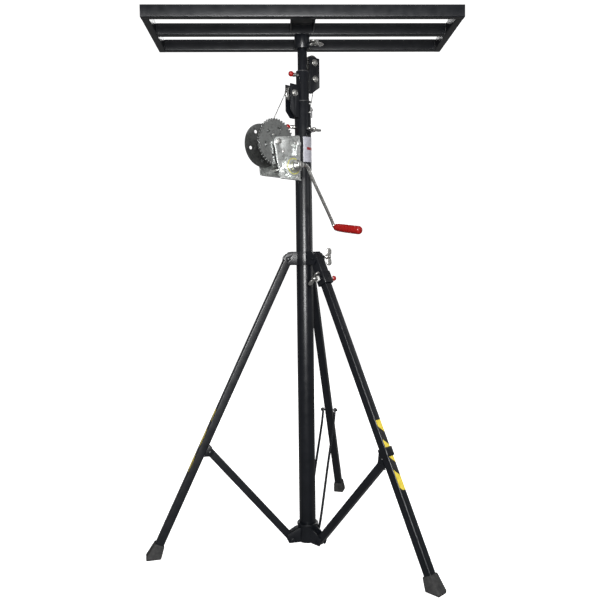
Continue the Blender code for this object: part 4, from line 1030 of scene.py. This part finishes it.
# %% Spring pins
def spring_pin(name, joint, barrel_body, barrel_from, barrel_to, tip, centre):
    facing = Matrix.Translation(centre) @ lying_along(direction(joint))
    barrel = ring(0.0065, 0.0034, barrel_from, barrel_to, 40, "X", 0.0006)
    merge(barrel, move(ring(0.0078, 0.0060, 0, 0.0045, 6, "Z", 0.0006), shift(barrel_from) @ LIE["X"]))
    fit(name + "_housing", barrel, barrel_body, "bright_plating", facing, name + "_barrel")
    ball_r, start = 0.0095, barrel_to + 0.0015
    centre_x = start + ball_r * 0.94
    ball = lathe([(0.0, start), (0.0040, start)] +
                 [(ball_r * math.sin(a), centre_x - ball_r * math.cos(a)) for a in
                  [math.radians(d) for d in range(30, 180, 12)]] + [(0.0, centre_x + ball_r)], 48, "X", 0)
    fit(name + "_ball", ball, name, "red_plastic_gloss", facing, name, 60.0)
    fit(name + "_plunger", disc(0.0029, tip, start + 0.001, 28, "X", 0.0005), name, "bright_plating", facing)


middle_z, mast_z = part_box("middle_pin"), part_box("mast_pin")
spring_pin("middle_pin", "middle_pin_pull", "middle_mast", MIDDLE_R + 0.0003, 0.044, MIDDLE_R - 0.0022,
           Vector((0, 0, (middle_z[0].z + middle_z[1].z) / 2)))
spring_pin("mast_pin", "mast_pin_pull", "mast", OUTER_R + 0.0003, 0.046, MIDDLE_R + 0.0006,
           Vector((0, 0, (mast_z[0].z + mast_z[1].z) / 2)))
LEVEL_AT = -0.078
level_centre = LEG["right"] @ Vector((0, 0, LEVEL_AT))
spring_pin("leg_pin", "leg_pin_pull", "right_upper_leg", 0.0213, 0.040, 0.0152, level_centre)
print("spring pins")

# %% [markdown]
# ## Tripod
# The collar and the bottom hub come from the model with rounded edges. Legs and braces are the
# same rounded square tube as the platform, made upright in the leg's own frame, and each lug
# gets a bolt through it. A bolt belongs to the body whose hole it sits in.

# %% Collar, hub and their bolts
refine("leg_collar", "collar", "powder_coat", 0.0008)
refine("bottom_hub", "mast", "powder_coat", 0.0008)
LUG_T, LUG_GAP = 0.0035, 0.0006                    # a lug's thickness, and its gap to the tube
LEG_SIZE, BRACE_SIZE, SLEEVE_SIZE = 0.029, 0.025, 0.037
for side in SIDES:
    half = (SLEEVE_SIZE if side == "right" else LEG_SIZE) / 2 + LUG_GAP + LUG_T
    fit(side + "_leg_bolt", bolt(half, 0.009, 0.0045, 0.0035, 0.006), "collar", "powder_coat",
        out_at(side + "_leg_fold"))
for number, (azimuth, z) in enumerate(((212.0, 1.024), (212.0, 1.052))):
    spot = Matrix.Rotation(math.radians(azimuth), 4, "Z") @ shift(0.0372, 0, z) @ LIE["X"]
    fit(f"collar_rivet_{number + 1}", rivet(0.0042, 0.003), "collar", "bright_plating", spot)
collar_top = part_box("leg_collar")[1].z
for number, azimuth in enumerate((-128.0, -52.0, -16.0)):
    rib = block(0.0345, 0.0392, -0.0022, 0.0022, collar_top - 0.036, collar_top - 0.003, 0.001)
    turn = Matrix.Rotation(math.radians(azimuth), 4, "Z")
    fit(f"collar_rib_{number + 1}", rib, "collar", "powder_coat", turn)
HUB_PIVOT = (0.060, 0.014)
for side in SIDES:
    half = 0.0205 + 0.0085 if side == "rear" else BRACE_SIZE / 2 + LUG_GAP + LUG_T
    fit(side + "_hub_bolt", bolt(half, 0.011, 0.0055, 0.0035, 0.0075), "mast", "powder_coat",
        SIDE[side] @ shift(HUB_PIVOT[0], 0, HUB_PIVOT[1]))
print("collar and hub")


# %% Legs, sleeve and slider
def leg_tube(side, body, top, bottom=-1.118):
    bm = square_tube(LEG_SIZE, LEG_SIZE, bottom, top, 0.0035, 0.002, 0.05)
    return fit(side + "_leg_tube", bm, body, "powder_coat", LEG[side], side + "_leg")


BRACE_AT, BRACE_OFFSET = 0.735, 0.0278            # pivot of a brace: down the leg, and inward
leg_tube("left", "left_leg", 0.014)
leg_tube("rear", "rear_leg", 0.014)
leg_tube("right", "right_leg", -0.012)


def brace_lug(name, body, side, face, top):
    """Two plates on the inner face of a leg that hold a brace's upper end, and their bolt."""
    low, high = -BRACE_AT - 0.014, -BRACE_AT + 0.014
    outline = [(face, low - 0.008), (face, top), (-BRACE_OFFSET - 0.004, high)]
    outline += arc(-BRACE_OFFSET, -BRACE_AT, 0.012, 130, 230, 10) + [(-BRACE_OFFSET - 0.004, low)]
    inner = BRACE_SIZE / 2 + LUG_GAP
    cheeks = [plate(outline, low_y, low_y + LUG_T, 0.0007) for low_y in (inner, -inner - LUG_T)]
    fit(name, merge(*cheeks), body, "powder_coat", LEG[side])
    fit(side + "_brace_bolt", bolt(inner + LUG_T, 0.009, 0.004, 0.0035, 0.006), body, "powder_coat",
        LEG[side] @ shift(-BRACE_OFFSET, 0, -BRACE_AT))


brace_lug("left_brace_lug", "left_leg", "left", -LEG_SIZE / 2 + 0.001, -BRACE_AT + 0.022)
inside = LEG_SIZE / 2 + 0.0004
brace_lug("right_brace_lug", "right_upper_leg", "right", -inside, -BRACE_AT + 0.040)


def through_band(outside, bore, low, high):
    """A short sleeve of square tube, open right through."""
    bm = bmesh.new()
    bmesh.ops.create_grid(bm, x_segments=1, y_segments=1, size=outside / 2)
    bmesh.ops.bevel(bm, geom=list(bm.verts), offset=0.0045, offset_type="OFFSET", affect="VERTICES",
                    segments=6, profile=0.5, material=-1)
    bmesh.ops.inset_individual(bm, faces=list(bm.faces), thickness=(outside - bore) / 2)
    middle = max(bm.faces, key=lambda f: len(f.verts))
    bmesh.ops.delete(bm, geom=[middle], context="FACES_ONLY")
    bmesh.ops.translate(bm, verts=bm.verts, vec=(0, 0, low))
    pull(bm, bmesh.ops.extrude_face_region(bm, geom=list(bm.faces)), (0, 0, high - low))
    bmesh.ops.recalc_face_normals(bm, faces=bm.faces)
    return ease(bm, 0.0008, 2, 60.0)


fit("leg_sleeve", merge(through_band(SLEEVE_SIZE, 2 * inside, -0.099, 0.014),
                        through_band(0.042, SLEEVE_SIZE - 0.0006, -0.101, -0.057)), "right_upper_leg",
    "powder_coat", LEG["right"], "right_leg_sleeve")
fit("leg_slider", through_band(2 * (inside + 0.0035), 2 * inside, -BRACE_AT + 0.0145, -BRACE_AT + 0.045),
    "right_upper_leg", "powder_coat", LEG["right"], "right_leg_slider")
knob_side = LEG["right"] @ shift(0, 0, LEVEL_AT) @ Matrix.Rotation(-QUARTER, 4, "Z")
fit("leg_knob_boss", ring(0.009, 0.0043, 0.0195, 0.030, 40, "X", 0.0008), "right_upper_leg",
    "powder_coat", knob_side)
fit("leg_knob_spacer", block(0.0302, 0.0365, -0.0095, 0.0095, -0.0095, 0.0095, 0.0016), "leg_knob",
    "white_nylon", knob_side)
print("legs", round(math.degrees(SPREAD), 2), "degrees from the mast")

# %% [markdown]
# A brace is straight tube between two bolts. Its frame comes from its own joint, turned until
# the tube points at the hub's pivot. The rear leg has a pair of thin bent rods instead, so that
# it can fold flat against the mast; a swept curve makes their soft bends.

# %% Braces and rear rods
for side in ("left", "right"):
    top = pivot(side + "_brace_fold")
    run, drop = reach(top) - HUB_PIVOT[0], top.z - HUB_PIVOT[1]
    length = math.hypot(run, drop)
    place = SIDE[side] @ shift(reach(top), 0, top.z) @ Matrix.Rotation(math.atan2(run, drop), 4, "Y")
    bm = square_tube(BRACE_SIZE, BRACE_SIZE, -length - 0.004, 0.004, 0.003, 0.0018, 0.03)
    fit(side + "_brace_tube", bm, side + "_brace", "powder_coat", place, side + "_brace")

top = pivot("rear_brace_fold")
run, drop = HUB_PIVOT[0] - reach(top), HUB_PIVOT[1] - top.z
ROD_Y, ROD_R = 0.025, 0.005
for name, y in (("rear_brace_rod_left", ROD_Y), ("rear_brace_rod_right", -ROD_Y)):
    path = [(reach(top) + 0.002, y, top.z + 0.008), (reach(top), y, top.z - 0.004)]
    for share, bow in ((0.06, 0.006), (0.14, 0.010), (0.5, 0.006), (0.86, 0.010), (0.94, 0.006)):
        path.append((reach(top) + run * share + bow, y, top.z + drop * share - bow))
    path.append((HUB_PIVOT[0], y, HUB_PIVOT[1] - 0.002))
    fit(name + "_bent", swept(path, ROD_R, resolution=5, steps=8), "rear_brace", "powder_coat",
        SIDE["rear"], name)
fit("rear_rod_bolt", bolt(ROD_Y + 0.004, 0.011, 0.0055, 0.0035, 0.0075), "rear_leg", "powder_coat",
    SIDE["rear"] @ shift(reach(top), 0, top.z))
print("braces")

# %% [markdown]
# ## Feet
# Each foot is a moulded rubber shoe with a level sole. It is a convex hull of a collar round
# the tube and a flat pad on the floor, then softened all over.

# %% Rubber feet
for side, body in (("left", "left_leg"), ("right", "right_leg"), ("rear", "rear_leg")):
    refine(side + "_foot", body, "foot_rubber", 0.0016, 20.0)
print("feet")

# %% [markdown]
# ## Tape and label
# Hazard tape runs down the outer faces of two legs, and a film label sits on the mast.
# Both are thin shells just proud of the metal. The stripes and the label's blocks are real
# divisions of the shell, cut with planes and given their own film, so they stay crisp.

# %% Hazard tape
TAPE_SLANT = 0.95                                 # how far a stripe drops across its width


def tape(name, body, side, low, high, first, pitch, yellow):
    """Tape down the outer face of a leg, from low to high along it, in slanted stripes."""
    half = LEG_SIZE / 2 + 0.0003
    wide = half - 0.0030                          # it stops short of the rounded corners
    bm = bmesh.new()
    verts = [bm.verts.new((half, y, low)) for y in (-wide, wide)]
    pull(bm, bmesh.ops.extrude_edge_only(bm, edges=[bm.edges.new(verts)]), (0, 0, high - low))
    slant = Vector((0, TAPE_SLANT, 1)).normalized()
    cuts = []
    z = first
    while z > low - pitch:
        cuts += [z, z - yellow]
        z -= pitch
    for z in cuts:
        bmesh.ops.bisect_plane(bm, geom=[*bm.verts, *bm.edges, *bm.faces], plane_co=(half, 0, z),
                               plane_no=slant)
    for face in bm.faces:
        centre = face.calc_center_median() - Vector((half, 0, first))
        along = (-centre.dot(slant) / slant.z) % pitch
        face.material_index = 0 if along < yellow else 1
    bmesh.ops.recalc_face_normals(bm, faces=bm.faces)
    bmesh.ops.solidify(bm, geom=list(bm.faces), thickness=0.0002)
    piece = fit(name, bm, body, "tape_yellow", LEG[side])
    piece.data.materials.append(FINISHES["tape_black"])
    return piece


tape("right_leg_tape", "right_leg", "right", -0.832, -0.599, -0.573, 0.101, 0.0575)
tape("left_leg_tape", "left_leg", "left", -0.826, -0.590, -0.566, 0.0985, 0.0555)


# %% Mast label
def film_patch(bm, radius, start, end, low, high, material):
    """A curved patch round the mast, between two angles in degrees, as part of the label's shell."""
    angles = [math.radians(start) + math.radians(end - start) * i / 16 for i in range(17)]
    verts = [bm.verts.new((radius * math.cos(a), radius * math.sin(a), low)) for a in angles]
    edges = [bm.edges.new(pair) for pair in zip(verts, verts[1:])]
    pull(bm, bmesh.ops.extrude_edge_only(bm, edges=edges), (0, 0, high - low))
    for face in [f for f in bm.faces if not f.tag]:
        face.material_index = material
        face.tag = True


SILVER, GREY, RED = 0, 1, 2                       # the label's material slots
FILM_R, PRINT_R = OUTER_R + 0.0003, OUTER_R + 0.0005
label = bmesh.new()
film_patch(label, FILM_R, -92, 1, 1.379, 1.468, SILVER)
film_patch(label, PRINT_R, -67, -9, 1.4225, 1.4320, RED)
for row in range(5):
    z = 1.458 - 0.0042 * row
    film_patch(label, PRINT_R, -81, -21 - 7 * (row % 2), z - 0.0008, z, GREY)
for row in range(4):
    z = 1.410 - 0.0050 * row
    film_patch(label, PRINT_R, -75, -19 - 9 * (row % 3), z - 0.0009, z, GREY)
bmesh.ops.recalc_face_normals(label, faces=label.faces)
piece = fit("mast_label", label, "mast", "label_silver")
for extra in ("label_grey", "label_red"):
    piece.data.materials.append(FINISHES[extra])
print("tape and label")

# %% [markdown]
# ## Studio
# The stand is in a round white room that only the camera sees, so the white puts no glare on
# the black tubes and casts no light. One wide soft lamp beside the camera draws the long
# highlight down the mast, and weaker ones open up the sides, the top and the back. The plain
# Standard view transform keeps the white white and the black tubes deep.

# %% Camera
CAMERA_AT, LENS = (-0.0853, -2.3070, 0.9851), 38.19
PITCH, YAW, ROLL = 0.0425, 0.0290, -0.0119        # downward, towards +X, about the view
camera_data = bpy.data.cameras.new("camera")
camera_data.lens = LENS
camera_data.sensor_width = 36.0
camera_data.clip_end = 60.0
camera = bpy.data.objects.new("camera", camera_data)
bpy.context.scene.collection.objects.link(camera)
forward = Vector((math.sin(YAW) * math.cos(PITCH), math.cos(YAW) * math.cos(PITCH), -math.sin(PITCH)))
right = Vector((math.cos(YAW), -math.sin(YAW), 0.0))
up = right.cross(forward)
view_x = right * math.cos(ROLL) + up * math.sin(ROLL)
view_y = up * math.cos(ROLL) - right * math.sin(ROLL)
facing = Matrix((view_x, view_y, -forward)).transposed().to_4x4()
camera.matrix_world = Matrix.Translation(CAMERA_AT) @ facing
bpy.context.scene.camera = camera


# %% Surround and lamps
PAPER_GLOW, SKY_GLOW = 1.0, 0.15
LAMPS = {  # place, the spot it faces, width and height, watts
    "front_lamp": ((-0.13, -3.4, 1.45), (0, 0, 1.2), (0.95, 1.5), 135),
    "left_lamp": ((-2.6, -2.2, 2.0), (0, 0, 1.0), (0.8, 2.0), 4),
    "right_lamp": ((2.8, -1.6, 2.2), (0, 0, 1.0), (0.8, 2.0), 7),
    "top_lamp": ((0.0, -0.6, 3.9), (0, 0, 0), (2.0, 2.0), 10),
    "back_lamp": ((0.9, 3.4, 2.6), (0, 0, 0.9), (2.2, 1.6), 45),
    "side_lamp": ((3.4, 1.6, 1.8), (0, 0, 0.9), (1.4, 1.6), 9),
}


def white_surround():
    """A round white room: the floor curves up into the wall, and a low dome closes it."""
    curve = [(9.0 + 5.0 * math.sin(a), 5.0 - 5.0 * math.cos(a))
             for a in [math.radians(9 * i) for i in range(11)]]
    bm = lathe([(0.0, 0.0), *curve, (14.0, 12.0), (9.0, 17.0), (0.0, 19.0)], 96, "Z", 0)
    bmesh.ops.reverse_faces(bm, faces=bm.faces)
    mesh = bpy.data.meshes.new("studio_surround")
    bm.to_mesh(mesh)
    bm.free()
    paper = new_finish("white_paper", (0.92, 0.92, 0.92), 0.9, 0.0, Emission_Strength=PAPER_GLOW,
                       Emission_Color=(1.0, 1.0, 1.0, 1.0))
    mesh.materials.append(paper)
    mesh.shade_smooth()
    surround = bpy.data.objects.new("studio_surround", mesh)
    bpy.context.scene.collection.objects.link(surround)
    surround.visible_diffuse = surround.visible_glossy = surround.visible_shadow = False


white_surround()
for name, (place, target, size, power) in LAMPS.items():
    data = bpy.data.lights.new(name, "AREA")
    data.shape = "RECTANGLE"
    data.size, data.size_y = size
    data.energy = power
    light = bpy.data.objects.new(name, data)
    bpy.context.scene.collection.objects.link(light)
    light.location = place
    light.rotation_euler = (Vector(target) - Vector(place)).to_track_quat("-Z", "Y").to_euler()
world = bpy.data.worlds.new("surround")
world.use_nodes = True
world.node_tree.nodes["Background"].inputs["Color"].default_value = (1.0, 1.0, 1.0, 1.0)
world.node_tree.nodes["Background"].inputs["Strength"].default_value = SKY_GLOW
bpy.context.scene.world = world
bpy.context.scene.view_settings.view_transform = "Standard"
